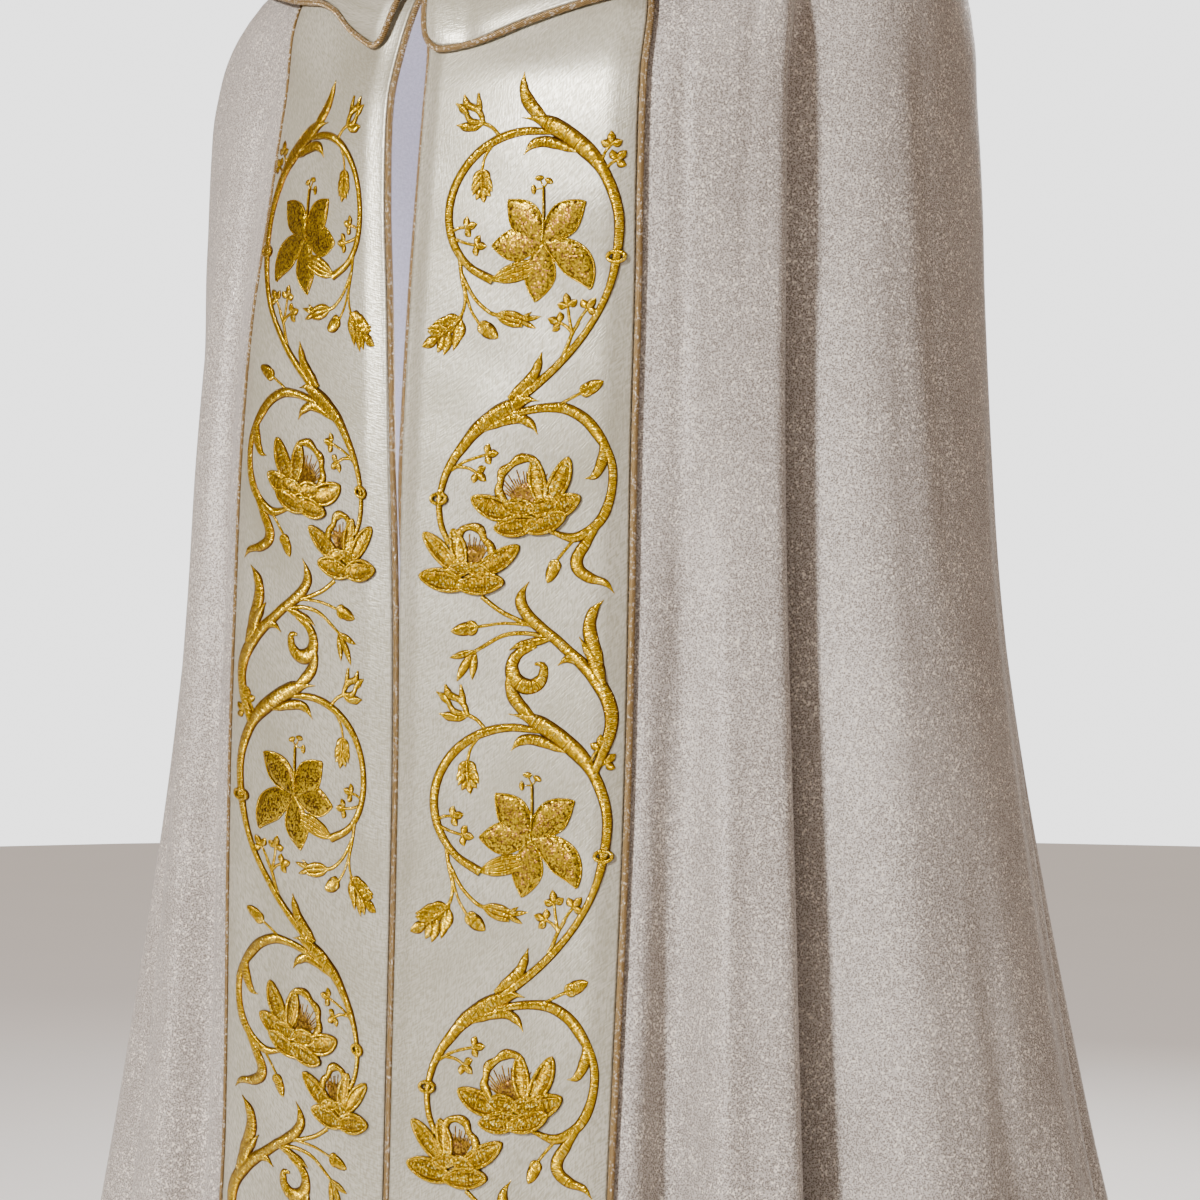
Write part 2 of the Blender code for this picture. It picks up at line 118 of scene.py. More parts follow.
# Deep troughs, with place and width as shares of the cloth from the orphrey to the centre back.
# Each starts at a drop and has a depth at each of FOLD_LEVELS; lean moves its bed along the cloth,
# as a share of the depth.
Fold = namedtuple("Fold", "place width starts yoke chest knee hem lean")
FOLD_LEVELS = (0.20, 0.45, 0.90, 1.42)
FOLDS = {
    1: (
        Fold(0.045, 0.080, 0.42, 0.000, 0.003, 0.026, 0.052, -0.45),
        Fold(0.187, 0.115, 0.08, 0.022, 0.032, 0.046, 0.074, -0.95),
        Fold(0.325, 0.130, 0.75, 0.000, 0.000, 0.012, 0.070, -0.20),
        Fold(0.470, 0.150, 0.12, 0.007, 0.022, 0.052, 0.090, 0.20),
        Fold(0.630, 0.140, 0.35, 0.000, 0.008, 0.036, 0.085, -0.25),
        Fold(0.780, 0.140, 0.15, 0.004, 0.018, 0.046, 0.090, 0.25),
        Fold(0.925, 0.125, 0.28, 0.000, 0.012, 0.040, 0.080, 0.15),
    ),
    -1: (
        Fold(0.060, 0.095, 0.13, 0.005, 0.014, 0.030, 0.055, 0.40),
        Fold(0.200, 0.130, 0.26, 0.000, 0.014, 0.040, 0.080, -0.45),
        Fold(0.345, 0.140, 0.12, 0.007, 0.022, 0.046, 0.085, 0.25),
        Fold(0.490, 0.135, 0.60, 0.000, 0.000, 0.024, 0.078, -0.20),
        Fold(0.635, 0.140, 0.14, 0.006, 0.020, 0.050, 0.092, 0.30),
        Fold(0.785, 0.140, 0.30, 0.000, 0.010, 0.040, 0.085, -0.25),
        Fold(0.925, 0.125, 0.18, 0.001, 0.014, 0.042, 0.082, -0.15),
    ),
}

# Shallow creases that the solid leaves out: soft troughs (depth over 0) and ridges (under 0) on top of the
# folds. place and width are shares too, and drift is how far, as a share, the crease wanders from its top to
# its bottom.
Crease = namedtuple("Crease", "place width top bottom depth drift")
CREASES = {
    1: (
        Crease(0.030, 0.030, 0.10, 0.62, 0.0012, 0.010),
        Crease(0.078, 0.046, 0.52, 1.42, -0.0034, 0.004),
        Crease(0.105, 0.028, 0.08, 0.34, 0.0010, -0.012),
        Crease(0.157, 0.060, 0.06, 1.42, 0.0105, 0.000),
        Crease(0.026, 0.034, 0.50, 1.42, 0.0034, 0.004),
        Crease(0.262, 0.060, 0.12, 0.55, -0.0020, 0.020),
        Crease(0.300, 0.045, 0.60, 1.42, 0.0028, 0.010),
        Crease(0.400, 0.050, 0.30, 1.10, 0.0030, -0.015),
        Crease(0.555, 0.060, 0.14, 0.70, -0.0030, 0.020),
        Crease(0.705, 0.050, 0.50, 1.42, 0.0034, -0.010),
        Crease(0.860, 0.045, 0.16, 0.90, -0.0026, 0.015),
        Crease(0.970, 0.030, 0.10, 1.30, 0.0020, 0.000),
    ),
    -1: (
        Crease(0.020, 0.028, 0.12, 0.55, 0.0014, 0.006),
        Crease(0.130, 0.050, 0.10, 0.80, -0.0024, -0.012),
        Crease(0.270, 0.055, 0.45, 1.42, 0.0030, 0.012),
        Crease(0.415, 0.050, 0.15, 0.75, -0.0026, 0.018),
        Crease(0.560, 0.050, 0.60, 1.42, 0.0034, -0.014),
        Crease(0.715, 0.055, 0.20, 1.00, -0.0030, 0.016),
        Crease(0.855, 0.045, 0.50, 1.42, 0.0030, 0.008),
        Crease(0.968, 0.030, 0.10, 1.20, 0.0018, 0.000),
    ),
}

# The collar's outer edge, by the share of the way from its front edge to the centre back.
Edge = namedtuple("Edge", "share drop")
COLLAR_EDGE = {
    1: (
        Edge(0.00, 0.166),
        Edge(0.05, 0.165),
        Edge(0.10, 0.157),
        Edge(0.16, 0.150),
        Edge(0.45, 0.128),
        Edge(0.70, 0.127),
        Edge(1.00, 0.140),
    ),
    -1: (
        Edge(0.00, 0.158),
        Edge(0.05, 0.143),
        Edge(0.10, 0.128),
        Edge(0.16, 0.121),
        Edge(0.45, 0.118),
        Edge(0.70, 0.124),
        Edge(1.00, 0.140),
    ),
}
# What isn't alike on the two fronts: where the body starts behind the satin, how far the piping lies out and
# sinks in, the outer piping's radius, and where the collar starts at its top and at its rounded corner.
Front = namedtuple(
    "Front", "body_start piping_out piping_sink outer_radius collar_top collar_corner corner_radius"
)
FRONTS = {
    1: Front(0.0036, -0.0012, 0.0030, 0.0020, 0.003, 0.0035, 0.014),
    -1: Front(0.0, 0.0023, 0.0, 0.0012, 0.0025, 0.0135, 0.006),
}

# The rolled cord on the wearer's left works out from under the satin by up to PIPING_PEEP, where the gap
# between the fronts is wider than PEEP_GAP.
PIPING_PEEP, PEEP_GAP = 0.0049, 0.0050

SEAM_CLOSED = 0.00001  # half the gap left at the centre-back seam, too small to let light through

# The satin bands are turned over a soft interlining, so they stand up by PUFF inside their edges, and reach
# that height PUFF_FRONT from the front edge and PUFF_OUTER from the outer one.
PUFF = 0.0038
PUFF_FRONT, PUFF_OUTER = 0.016, 0.015
# The satin is pulled a little by its stitching: waves of that height, with radians per metre each way.
Pull = namedtuple("Pull", "height down across start")
PULLS = (Pull(0.00016, 61, 35, 0.0), Pull(0.00012, 127, -71, 1.3))
BAND_OUTSIDE = 0.5 * BODY_WALL + SEAM + SATIN_WALL  # outer face of the satin over the middle of the body

REPEAT_DRAWN = 0.353  # length of one repeat of the embroidery, as it is drawn


def row_at(table, key):
    """The table's row at any value of its first column, on a smooth curve through its rows."""
    last = len(table) - 1
    i = max(k for k in range(last) if table[k][0] <= key or k == 0)
    a, b = table[i], table[i + 1]
    span = b[0] - a[0]
    t = (key - a[0]) / span

    def slope(k, column):
        lo, hi = table[max(k - 1, 0)], table[min(k + 1, last)]
        return (hi[column] - lo[column]) / (hi[0] - lo[0])

    values = []
    for column, value in enumerate(a):
        rise = b[column] - value
        start, end = slope(i, column) * span, slope(i + 1, column) * span
        curve = ((start + end - 2 * rise) * t + 3 * rise - 2 * start - end) * t * t + start * t
        values.append(value + curve)
    return type(a)(*values)


def smoothstep(t):
    """An eased rise from 0 to 1."""
    t = np.clip(t, 0.0, 1.0)
    return t * t * (3 - 2 * t)


def unit(vectors):
    """The vectors at length 1."""
    return vectors / np.linalg.norm(vectors, axis=-1, keepdims=True)


def lengths(points):
    """Distance along a run of points, from its start to each."""
    steps = np.linalg.norm(np.diff(points, axis=0), axis=1)
    return np.concatenate(([0.0], np.cumsum(steps)))


class Oval:
    """One half of a ring of the cloak, as points at known distances along the cloth from its front edge."""

    def __init__(self, side, drop):
        ring = row_at(RINGS, drop)
        turn = np.linspace(0.0, math.pi, OVAL_SAMPLES + 1)
        front = turn <= 0.5 * math.pi
        depth = np.where(front, ring.front_depth, ring.back_depth)
        end_drop = np.where(front, ring.drop, ring.back_drop)
        x = (ring.left_width if side > 0 else ring.right_width) * np.sin(turn)
        y = -depth * np.cos(turn)
        z = -ring.side_drop - (end_drop - ring.side_drop) * np.cos(turn) ** 2
        flat = lengths(np.stack((x, y, z), axis=1))
        fade = 1 - smoothstep((flat - SWING_FADE[0]) / (SWING_FADE[1] - SWING_FADE[0]))
        swing = ring.left_swing if side > 0 else ring.right_swing
        y = y - side * math.tan(math.radians(swing)) * np.minimum(flat, BAND_WIDTH) * fade
        back = turn / math.pi
        shift = 0.5 * ring.gap * (1 - back) + 0.5 * SEAM * back
        self.points = np.stack((side * (x + shift), y, z), axis=1)
        self.along = lengths(self.points)

    def at(self, distances):
        """The points that far along the cloth; past either end it runs straight on."""
        end = self.along[-1]
        inside = np.clip(distances, 0.0, end)
        found = np.stack([np.interp(inside, self.along, self.points[:, k]) for k in range(3)], axis=-1)
        first = (self.points[1] - self.points[0]) / self.along[1]
        last = (self.points[-1] - self.points[-2]) / (end - self.along[-2])
        before = np.minimum(distances, 0.0)[..., None] * first
        return found + before + np.maximum(distances - end, 0.0)[..., None] * last


OVALS = {}


def oval(side, drop):
    """The ring at that drop, worked out once."""
    key = side, round(float(drop), 6)
    if key not in OVALS:
        OVALS[key] = Oval(side, float(drop))
    return OVALS[key]


def cloth_row(side, drop, distances):
    """Points of the smooth cloth at one drop, with its outward normals and its level directions."""
    distances = np.asarray(distances, float)
    here = oval(side, drop)
    low = oval(side, min(drop + NORMAL_STEP, HEM_DROP))
    high = oval(side, max(drop - NORMAL_STEP, NECK_DROP))
    level = unit(here.at(distances + NORMAL_STEP) - here.at(distances - NORMAL_STEP))
    down = unit(low.at(distances) - high.at(distances))
    return here.at(distances), unit(side * np.cross(down, level)), level


def fold_depth(fold, drop):
    """How deep the trough is at that drop: nothing above its start, then its named depths."""
    levels = (fold.starts,) + tuple(level for level in FOLD_LEVELS if level > fold.starts)
    depths = (0.0,) + (fold.yoke, fold.chest, fold.knee, fold.hem)[-(len(levels) - 1):]
    if drop <= levels[0]:
        return 0.0
    k = 1
    while k < len(levels) - 1 and levels[k] < drop:
        k += 1
    t = (drop - levels[k - 1]) / (levels[k] - levels[k - 1])
    eased = t * t * (3 - 2 * t) if k == 1 else t
    return depths[k - 1] + (depths[k] - depths[k - 1]) * eased


def crease_depth(crease, drop):
    """A crease grows in and dies out over a quarter of its length at each end."""
    share = (drop - crease.top) / (crease.bottom - crease.top)
    rises = smoothstep(share / 0.25)
    falls = 1.0 if crease.bottom >= HEM_DROP else smoothstep((1 - share) / 0.25)
    return crease.depth * float(rises * falls)


def trough(shares, place, width):
    """A rounded trough across the cloth, 1 at its bed and 0 past its sides."""
    across = np.clip((shares - place) / (0.5 * width), -1.0, 1.0)
    return np.cos(0.5 * math.pi * across) ** 2


def folded_row(side, drop, shares):
    """The folded cloth at one drop between the orphrey and the centre back."""
    start = BAND_WIDTH + PIPING_LEDGE
    distances = start + shares * (oval(side, drop).along[-1] - start)
    points, normals, level = cloth_row(side, drop, distances)
    sink, slide = np.zeros_like(shares), np.zeros_like(shares)
    for fold in FOLDS[side]:
        bed = fold_depth(fold, drop) * trough(shares, fold.place, fold.width)
        sink += bed
        slide += fold.lean * bed
    for crease in CREASES[side]:
        wander = crease.drift * (drop - crease.top) / (crease.bottom - crease.top)
        sink += crease_depth(crease, drop) * trough(shares, crease.place + wander, crease.width)
    return points - sink[:, None] * normals + slide[:, None] * level


def band_lift(distances, drop):
    """The satin's outer face over the body's middle: raised inside its turned edges, with a faint pull."""
    outer = np.clip((BAND_WIDTH - distances) / PUFF_OUTER, 0.0, 1.3)
    # it rises straight from the outer edge and rounds over near the top
    outer = np.where(outer < 0.8, outer, 0.8 + 0.2 * np.sin((outer - 0.8) * math.pi))
    rise = smoothstep(distances / PUFF_FRONT) * outer
    pull = sum(p.height * np.sin(p.down * drop + p.across * distances + p.start) for p in PULLS)
    return BAND_OUTSIDE + rise * (PUFF + pull)


class Band:
    """The satin's outer face as a fine table, so that embroidery can be laid at any place on it."""

    STEP = 0.0015

    def __init__(self, side):
        self.drops = np.arange(0.150, HEM_DROP, self.STEP)
        self.distances = np.arange(0.0, BAND_WIDTH + self.STEP, self.STEP)
        rows = []
        for drop in self.drops:
            points, normals, _ = cloth_row(side, drop, self.distances)
            rows.append(points + band_lift(self.distances, drop)[:, None] * normals)
        self.points = np.array(rows)
        across = np.gradient(self.points, axis=1)
        self.normals = unit(side * np.cross(np.gradient(self.points, axis=0), across))

    def at(self, distances, drops):
        """(points, normals) between the table's places."""
        i = np.clip((drops - self.drops[0]) / self.STEP, 0, len(self.drops) - 1.001)
        j = np.clip(distances / self.STEP, 0, len(self.distances) - 1.001)
        i0, j0 = i.astype(int), j.astype(int)
        a, b = (i - i0)[..., None], (j - j0)[..., None]

        def between_rows(table):
            upper = table[i0, j0] * (1 - b) + table[i0, j0 + 1] * b
            return upper * (1 - a) + (table[i0 + 1, j0] * (1 - b) + table[i0 + 1, j0 + 1] * b) * a

        return between_rows(self.points), unit(between_rows(self.normals))


# ---- Blender helpers ----------------------------------------------------------------------------------
def linear(hex_colour):
    """An sRGB hex value as linear red, green, blue and alpha."""
    parts = [int(hex_colour[k:k + 2], 16) / 255 for k in (1, 3, 5)]
    return tuple(c / 12.92 if c <= 0.04045 else ((c + 0.055) / 1.055) ** 2.4 for c in parts) + (1.0,)


def in_use(sockets, name=None):
    """The first socket in use, of that name if one is given: a Mix node keeps a set for each data type."""
    return next(socket for socket in sockets if socket.enabled and name in (None, socket.name))


def feed(tree, node, inputs):
    """Sets a node's sockets, or links them. A node given as a value stands for its first output in use."""
    for name, value in inputs.items():
        socket = node.inputs[name] if isinstance(name, int) else in_use(node.inputs, name)
        if isinstance(value, bpy.types.Node):
            value = in_use(value.outputs)
        if isinstance(value, bpy.types.NodeSocket):
            tree.links.new(value, socket)
        else:
            socket.default_value = value
    return node


def add(tree, kind, inputs=None, **settings):
    """Adds a node: settings are its properties, and inputs are what feed gives its sockets."""
    made = tree.nodes.new(kind)
    for name, value in settings.items():
        setattr(made, name, value)
    return feed(tree, made, inputs or {})


def surface(name):
    """A new material as (material, tree, shader)."""
    made = bpy.data.materials.new(name)
    made.use_nodes = True
    return made, made.node_tree, made.node_tree.nodes["Principled BSDF"]


def place(name, data, location=(0, 0, 0), rotation=(0, 0, 0)):
    """A new object in the scene."""
    made = bpy.data.objects.new(name, data)
    made.location = location
    made.rotation_euler = rotation
    bpy.context.scene.collection.objects.link(made)
    return made


def grid_mesh(name, grids, finishes, flip=False, closed_across=False):
    """A smooth mesh of one or more grids, each (number of its finish, points, places on the cloth).

    The places are metres across and down, and become the UV map "cloth".
    """
    points, faces, corners, numbers, first = [], [], [], [], 0
    for number, grid, uv in grids:
        rows, columns = grid.shape[:2]
        index = first + np.arange(rows * columns).reshape(rows, columns)
        if closed_across:
            index = np.hstack((index, index[:, :1]))
            uv = np.hstack((uv, uv[:, :1] + (uv[:, 1:2] - uv[:, :1]) * columns))
        quads = np.stack((index[:-1, :-1], index[1:, :-1], index[1:, 1:], index[:-1, 1:]), axis=-1)
        maps = np.stack((uv[:-1, :-1], uv[1:, :-1], uv[1:, 1:], uv[:-1, 1:]), axis=-2)
        if flip:
            quads, maps = quads[..., ::-1], maps[..., ::-1, :]
        points.append(grid.reshape(-1, 3))
        faces.append(quads.reshape(-1, 4))
        corners.append(maps.reshape(-1, 2))
        numbers.append(np.full(len(faces[-1]), number, np.int32))
        first += rows * columns
    mesh = bpy.data.meshes.new(name)
    mesh.from_pydata(np.vstack(points).tolist(), [], np.vstack(faces).tolist())
    mesh.uv_layers.new(name="cloth").data.foreach_set("uv", np.vstack(corners).astype(np.float32).ravel())
    mesh.polygons.foreach_set("material_index", np.concatenate(numbers))
    mesh.shade_smooth()
    for made in finishes:
        mesh.materials.append(made)
    return place(name, mesh)


def thicken(obj, wall, inner_finish=0):
    """Gives the sheet its wall, inward from the modelled face."""
    solid = obj.modifiers.new("wall", "SOLIDIFY")
    solid.thickness = wall
    solid.offset = -1.0
    solid.material_offset = inner_finish
    return obj


def on_cloth(points):
    """A sheet's grid for grid_mesh, with places measured across and down the cloth itself."""
    across = np.cumsum(np.linalg.norm(np.diff(points, axis=1, prepend=points[:, :1]), axis=2), axis=1)
    down = np.cumsum(np.linalg.norm(np.diff(points, axis=0, prepend=points[:1]), axis=2), axis=0)
    return [(0, points, np.stack((across, down), axis=-1))]


def tube_mesh(name, centres, ups, radius, made_of):
    """A round cord along centres; ups fixes where its seam lies, on the side that is turned away."""
    along = lengths(centres)
    forward = unit(np.gradient(centres, axis=0))
    ups = unit(ups - np.sum(ups * forward, axis=1, keepdims=True) * forward)
    sideways = np.cross(forward, ups)
    turn = 2 * math.pi * np.arange(CORD_SIDES) / CORD_SIDES
    ring = -np.cos(turn)[None, :, None] * ups[:, None] + np.sin(turn)[None, :, None] * sideways[:, None]
    width = radius * np.ones(len(centres))
    width[0] = width[-1] = CORD_END * radius
    points = centres[:, None] + width[:, None, None] * ring
    uv = np.stack(np.broadcast_arrays(radius * turn[None, :], along[:, None]), axis=-1)
    return grid_mesh(name, [(0, points, uv)], [made_of], closed_across=True)


def piece(obj, slot, *nodes):
    """The piece rides on the cope and stands for those nodes, whose solids it hides; slot is not used."""
    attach(obj, "root")
    if nodes:
        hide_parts(*nodes)
    return obj


# ---- settings that a user would change ----------------------------------------------------------------
def colour(name, description, hex_value):
    """A colour setting, given in sRGB."""
    return bpy.props.FloatVectorProperty(
        name=name, description=description, default=linear(hex_value), size=4, subtype="COLOR",
        min=0.0, max=1.0,
    )


def size(name, description, default):
    """A length setting, in metres."""
    return bpy.props.FloatProperty(
        name=name, description=description, default=default, min=0.0, unit="LENGTH"
    )


class CopeColours(bpy.types.PropertyGroup):
    crepe: colour("Crepe", "Ground colour of the body cloth", "#B7AEA4")
    crepe_shade: colour("Crepe shade", "Body cloth where its grain dips", "#6C6258")
    # painted glint: the pale colour that random metal flecks of the crepe and the piping take, lit or not
    glint: colour("Glint", "Metal thread where it catches the light", "#FFF4E2")
    lining: colour("Reverse", "Inside of the body cloth", "#DDDAE6")
    satin: colour("Satin", "Orphreys and collar", "#C3BEAC")
    satin_shade: colour("Satin shade", "Satin between its threads", "#A09A84")
    cord: colour("Piping", "Gold lame of the piping", "#BB9A60")
    cord_shade: colour("Piping shade", "Piping between its twists", "#4C331A")
    gold: colour("Gold thread", "Embroidery thread", "#E6BC00")
    # painted shade in the dips between stitches and down each run's flanks; stitches and flakes also darken
    # to it at random
    gold_shade: colour("Gold thread shade", "Embroidery thread where it dips", "#683F00")
    # the rim round each run: partly the darker thread ends, partly painted shade where the run meets the
    # satin; also the filling's dark gaps
    gold_edge: colour("Thread edge", "Where the stitches enter the satin", "#4A2A06")
    # painted highlight: a pale yellow laid on random flakes and scaled by each run's painted light, not by
    # the lamps
    gold_painted_spark: colour("Gold spark", "Metal thread of the stitches that face the light", "#FFEC80")
    dull_gold: colour("Filling thread", "Short filling stitches of the lilies", "#C09E12")
    copper: colour("Stamen thread", "Short stitches inside the roses", "#A07A1C")
    brass: colour("Brass", "Hook and eye", "#C9A050")
    floor: colour("Floor", "Studio floor", "#F6F5F3")


class CopeSizes(bpy.types.PropertyGroup):
    crepe_grain: size("Crepe grain", "One grain of the crepe, coarsened to show", 0.0010)
    satin_thread: size("Satin thread", "Satin yarn spacing, coarsened to show", 0.0011)
    stitch: size("Stitch", "Spacing of the embroidery stitches, coarsened to show", 0.0010)
    short_stitch: size("Short stitch", "One filling stitch of the lilies, coarsened to show", 0.0010)
    gold_flake: size("Gold flake", "Width of one glint of the metal thread, coarsened", 0.0010)
    cord_twist: size("Cord twist", "Spacing of the piping's yarns, coarsened to show", 0.0014)
    cord_glint: size("Cord glint", "Width of one glint of the piping, coarsened to show", 0.0008)
    repeat: size("Repeat", "Length of one repeat of the embroidery", REPEAT_DRAWN)
    stage_height: size("Clearance", "Hem above the floor", 0.025)


# ---- materials ----------------------------------------------------------------------------------------
RUN_HALF = 0.001  # the map of a run of stitches goes from minus to plus this across it, whatever its width


def chosen():
    """The colours and sizes that are set in the scene."""
    return bpy.context.scene.cope_colours, bpy.context.scene.cope_sizes


def facets(tree, where, spacing):
    """Cells that each tilt their own way, as (tilted height, random value of the cell, distance inside)."""
    cells = add(tree, "ShaderNodeTexVoronoi", {"Vector": where, "Scale": 1 / spacing})
    scaled = add(tree, "ShaderNodeVectorMath", {0: where, 1: (1 / spacing,) * 3}, operation="MULTIPLY")
    inside = add(
        tree, "ShaderNodeVectorMath", {0: scaled, 1: cells.outputs["Position"]}, operation="SUBTRACT"
    )
    tilt = add(
        tree, "ShaderNodeVectorMath", {0: cells.outputs["Color"], 1: (0.5,) * 3}, operation="SUBTRACT"
    )
    height = add(tree, "ShaderNodeVectorMath", {0: inside, 1: tilt}, operation="DOT_PRODUCT")
    chance = add(tree, "ShaderNodeSeparateColor", {"Color": cells.outputs["Color"]})
    return height, chance.outputs["Blue"], cells.outputs["Distance"]


def woven(tree, spacing, stretch):
    """Threads both ways on the cloth, as one value: each is a noise drawn out along its thread."""
    where = add(tree, "ShaderNodeUVMap", uv_map="cloth")
    both = []
    for scale in ((1 / spacing, 1 / (stretch * spacing), 1), (1 / (stretch * spacing), 1 / spacing, 1)):
        threads = add(tree, "ShaderNodeVectorMath", {0: where, 1: scale}, operation="MULTIPLY")
        both.append(
            add(
                tree, "ShaderNodeTexNoise", {"Vector": threads, "Scale": 1.0, "Detail": 1.0},
                noise_dimensions="2D",
            )
        )
    total = add(tree, "ShaderNodeMath", {0: both[0], 1: both[1]}, operation="ADD")
    return add(tree, "ShaderNodeMapRange", {"Value": total, "From Min": 0.7, "From Max": 1.3})


def twisted(tree, where, spacing, slant):
    """Slanted ridges on a map whose V runs along the thread or cord, as (ridge from 0 to 1, distance)."""
    parts = add(tree, "ShaderNodeSeparateXYZ", {"Vector": where})
    across = add(
        tree, "ShaderNodeMath", {0: parts.outputs["X"], 1: slant / spacing}, operation="MULTIPLY"
    )
    along = add(
        tree, "ShaderNodeMath", {0: parts.outputs["Y"], 1: 1 / spacing, 2: across},
        operation="MULTIPLY_ADD",
    )
    turns = add(tree, "ShaderNodeMath", {0: along, 1: 2 * math.pi}, operation="MULTIPLY")
    wave = add(tree, "ShaderNodeMath", {0: turns}, operation="SINE")
    return add(tree, "ShaderNodeMapRange", {"Value": wave, "From Min": -1.0, "From Max": 1.0}), along


def lame_crepe():
    """Crepe woven with fine metal thread: a pebbly matt ground, with single threads in a pale, glossier
    colour that is a painted glint.
    """
    colours, sizes = chosen()
    made, tree, shader = surface("lame_crepe_woven")
    where = add(tree, "ShaderNodeTexCoord").outputs["Object"]
    height, chance, middle = facets(tree, where, sizes.crepe_grain)
    # the painted glints come more often in drifts some 30 mm wide, where the metal lies uppermost
    drift = add(tree, "ShaderNodeTexNoise", {"Vector": where, "Scale": 30.0, "Detail": 3.0})
    drift = add(
        tree, "ShaderNodeMapRange",
        {"Value": drift, "From Min": 0.35, "From Max": 0.65, "To Min": -0.07, "To Max": 0.06},
    )
    chance = add(tree, "ShaderNodeMath", {0: chance, 1: drift}, operation="ADD")
    painted_glint_flecks = add(
        tree, "ShaderNodeMapRange", {"Value": chance, "From Min": 0.90, "From Max": 0.925, "To Max": 0.65}
    )
    # each grain is a small dark dip in a lighter ground, which is clouded over about 110 mm
    grain = add(tree, "ShaderNodeMapRange", {"Value": middle, "From Min": 0.60, "From Max": 0.30})
    cloud = add(tree, "ShaderNodeTexNoise", {"Vector": where, "Scale": 9.0, "Detail": 3.0})
    cloud = add(
        tree, "ShaderNodeMapRange",
        {"Value": cloud, "From Min": 0.3, "From Max": 0.7, "To Min": -0.10, "To Max": 0.10},
    )
    tone = add(tree, "ShaderNodeMath", {0: grain, 1: cloud}, operation="ADD", use_clamp=True)
    ground = add(
        tree, "ShaderNodeMix", data_type="RGBA",
        inputs={"Factor": tone, "A": colours.crepe, "B": colours.crepe_shade},
    )
    # painted glint: the flecks take the pale glint colour wherever they fall, and are also more metallic and
    # glossier
    base = add(
        tree, "ShaderNodeMix", {"Factor": painted_glint_flecks, "A": ground, "B": colours.glint}, data_type="RGBA"
    )
    metal = add(tree, "ShaderNodeMapRange", {"Value": painted_glint_flecks, "To Min": 0.25, "To Max": 0.40})
    rough = add(tree, "ShaderNodeMapRange", {"Value": painted_glint_flecks, "To Min": 0.50, "To Max": 0.26})
    bump = add(
        tree, "ShaderNodeBump",
        {"Height": height, "Strength": 0.40, "Distance": 0.6 * sizes.crepe_grain},
    )
    feed(tree, shader, {
        "Base Color": base, "Metallic": metal, "Roughness": rough, "Normal": bump,
        "Sheen Weight": 0.2, "Sheen Roughness": 0.4, "Specular IOR Level": 0.5,
    })
    return made


def plain_lining():
    """The reverse of the crepe: a smooth lilac-grey plain weave, with no metal thread on show."""
    colours, sizes = chosen()
    made, tree, shader = surface("crepe_reverse_plain_weave")
    weave = woven(tree, sizes.satin_thread, 3.0)
    shade = tuple(0.82 * c for c in colours.lining[:3]) + (1.0,)
    base = add(
        tree, "ShaderNodeMix", {"Factor": weave, "A": shade, "B": colours.lining}, data_type="RGBA"
    )
    bump = add(tree, "ShaderNodeBump", {"Height": weave, "Strength": 0.4, "Distance": 0.0003})
    feed(tree, shader, {"Base Color": base, "Normal": bump, "Roughness": 0.7, "Sheen Weight": 0.2})
    return made


def duchess_satin():
    """Heavy satin: long warp floats give a soft gloss, and its yarn shows as a fine slub both ways."""
    colours, sizes = chosen()
    made, tree, shader = surface("duchess_satin_woven")
    weave = woven(tree, sizes.satin_thread, 4.0)
    where = add(tree, "ShaderNodeUVMap", uv_map="cloth")
    cloud = add(
        tree, "ShaderNodeTexNoise", {"Vector": where, "Scale": 14.0, "Detail": 2.0},
        noise_dimensions="2D",
    )
    tone = add(tree, "ShaderNodeMath", {0: weave, 1: cloud}, operation="MULTIPLY", use_clamp=True)
    tone = add(tree, "ShaderNodeMapRange", {"Value": tone, "From Min": 0.05, "From Max": 0.5})
    base = add(
        tree, "ShaderNodeMix", data_type="RGBA",
        inputs={"Factor": tone, "A": colours.satin_shade, "B": colours.satin},
    )
    rough = add(tree, "ShaderNodeMapRange", {"Value": weave, "To Min": 0.46, "To Max": 0.38})
    bump = add(tree, "ShaderNodeBump", {"Height": weave, "Strength": 0.40, "Distance": 0.00020})
    feed(tree, shader, {
        "Base Color": base, "Roughness": rough, "Normal": bump,
        "Metallic": 0.5, "Specular IOR Level": 0.8, "Anisotropic": 0.3,
    })
    return made


def lame_cord():
    """Piping covered with gold lame cut on the bias: slanted metal yarns over a tan ground, with a painted
    glint on random flecks.
    """
    colours, sizes = chosen()
    made, tree, shader = surface("gold_lame_bias_piping")
    where = add(tree, "ShaderNodeUVMap", uv_map="cloth")
    ridge, _ = twisted(tree, where, sizes.cord_twist, 0.8)
    height, chance, _ = facets(tree, where, sizes.cord_glint)
    painted_glint_flecks = add(
        tree, "ShaderNodeMapRange", {"Value": chance, "From Min": 0.86, "From Max": 0.92, "To Max": 0.7}
    )
    yarn = add(
        tree, "ShaderNodeMix", {"Factor": ridge, "A": colours.cord_shade, "B": colours.cord},
        data_type="RGBA",
    )
    # painted glint: random flecks take the pale glint colour, lit or not
    base = add(tree, "ShaderNodeMix", {"Factor": painted_glint_flecks, "A": yarn, "B": colours.glint}, data_type="RGBA")
    metal = add(tree, "ShaderNodeMapRange", {"Value": painted_glint_flecks, "To Min": 0.6, "To Max": 0.8})
    height = add(tree, "ShaderNodeMath", {0: height, 1: 0.5, 2: ridge}, operation="MULTIPLY_ADD")
    bump = add(tree, "ShaderNodeBump", {"Height": height, "Strength": 0.9, "Distance": 0.0005})
    feed(tree, shader, {"Base Color": base, "Metallic": metal, "Normal": bump, "Roughness": 0.34})
    return made


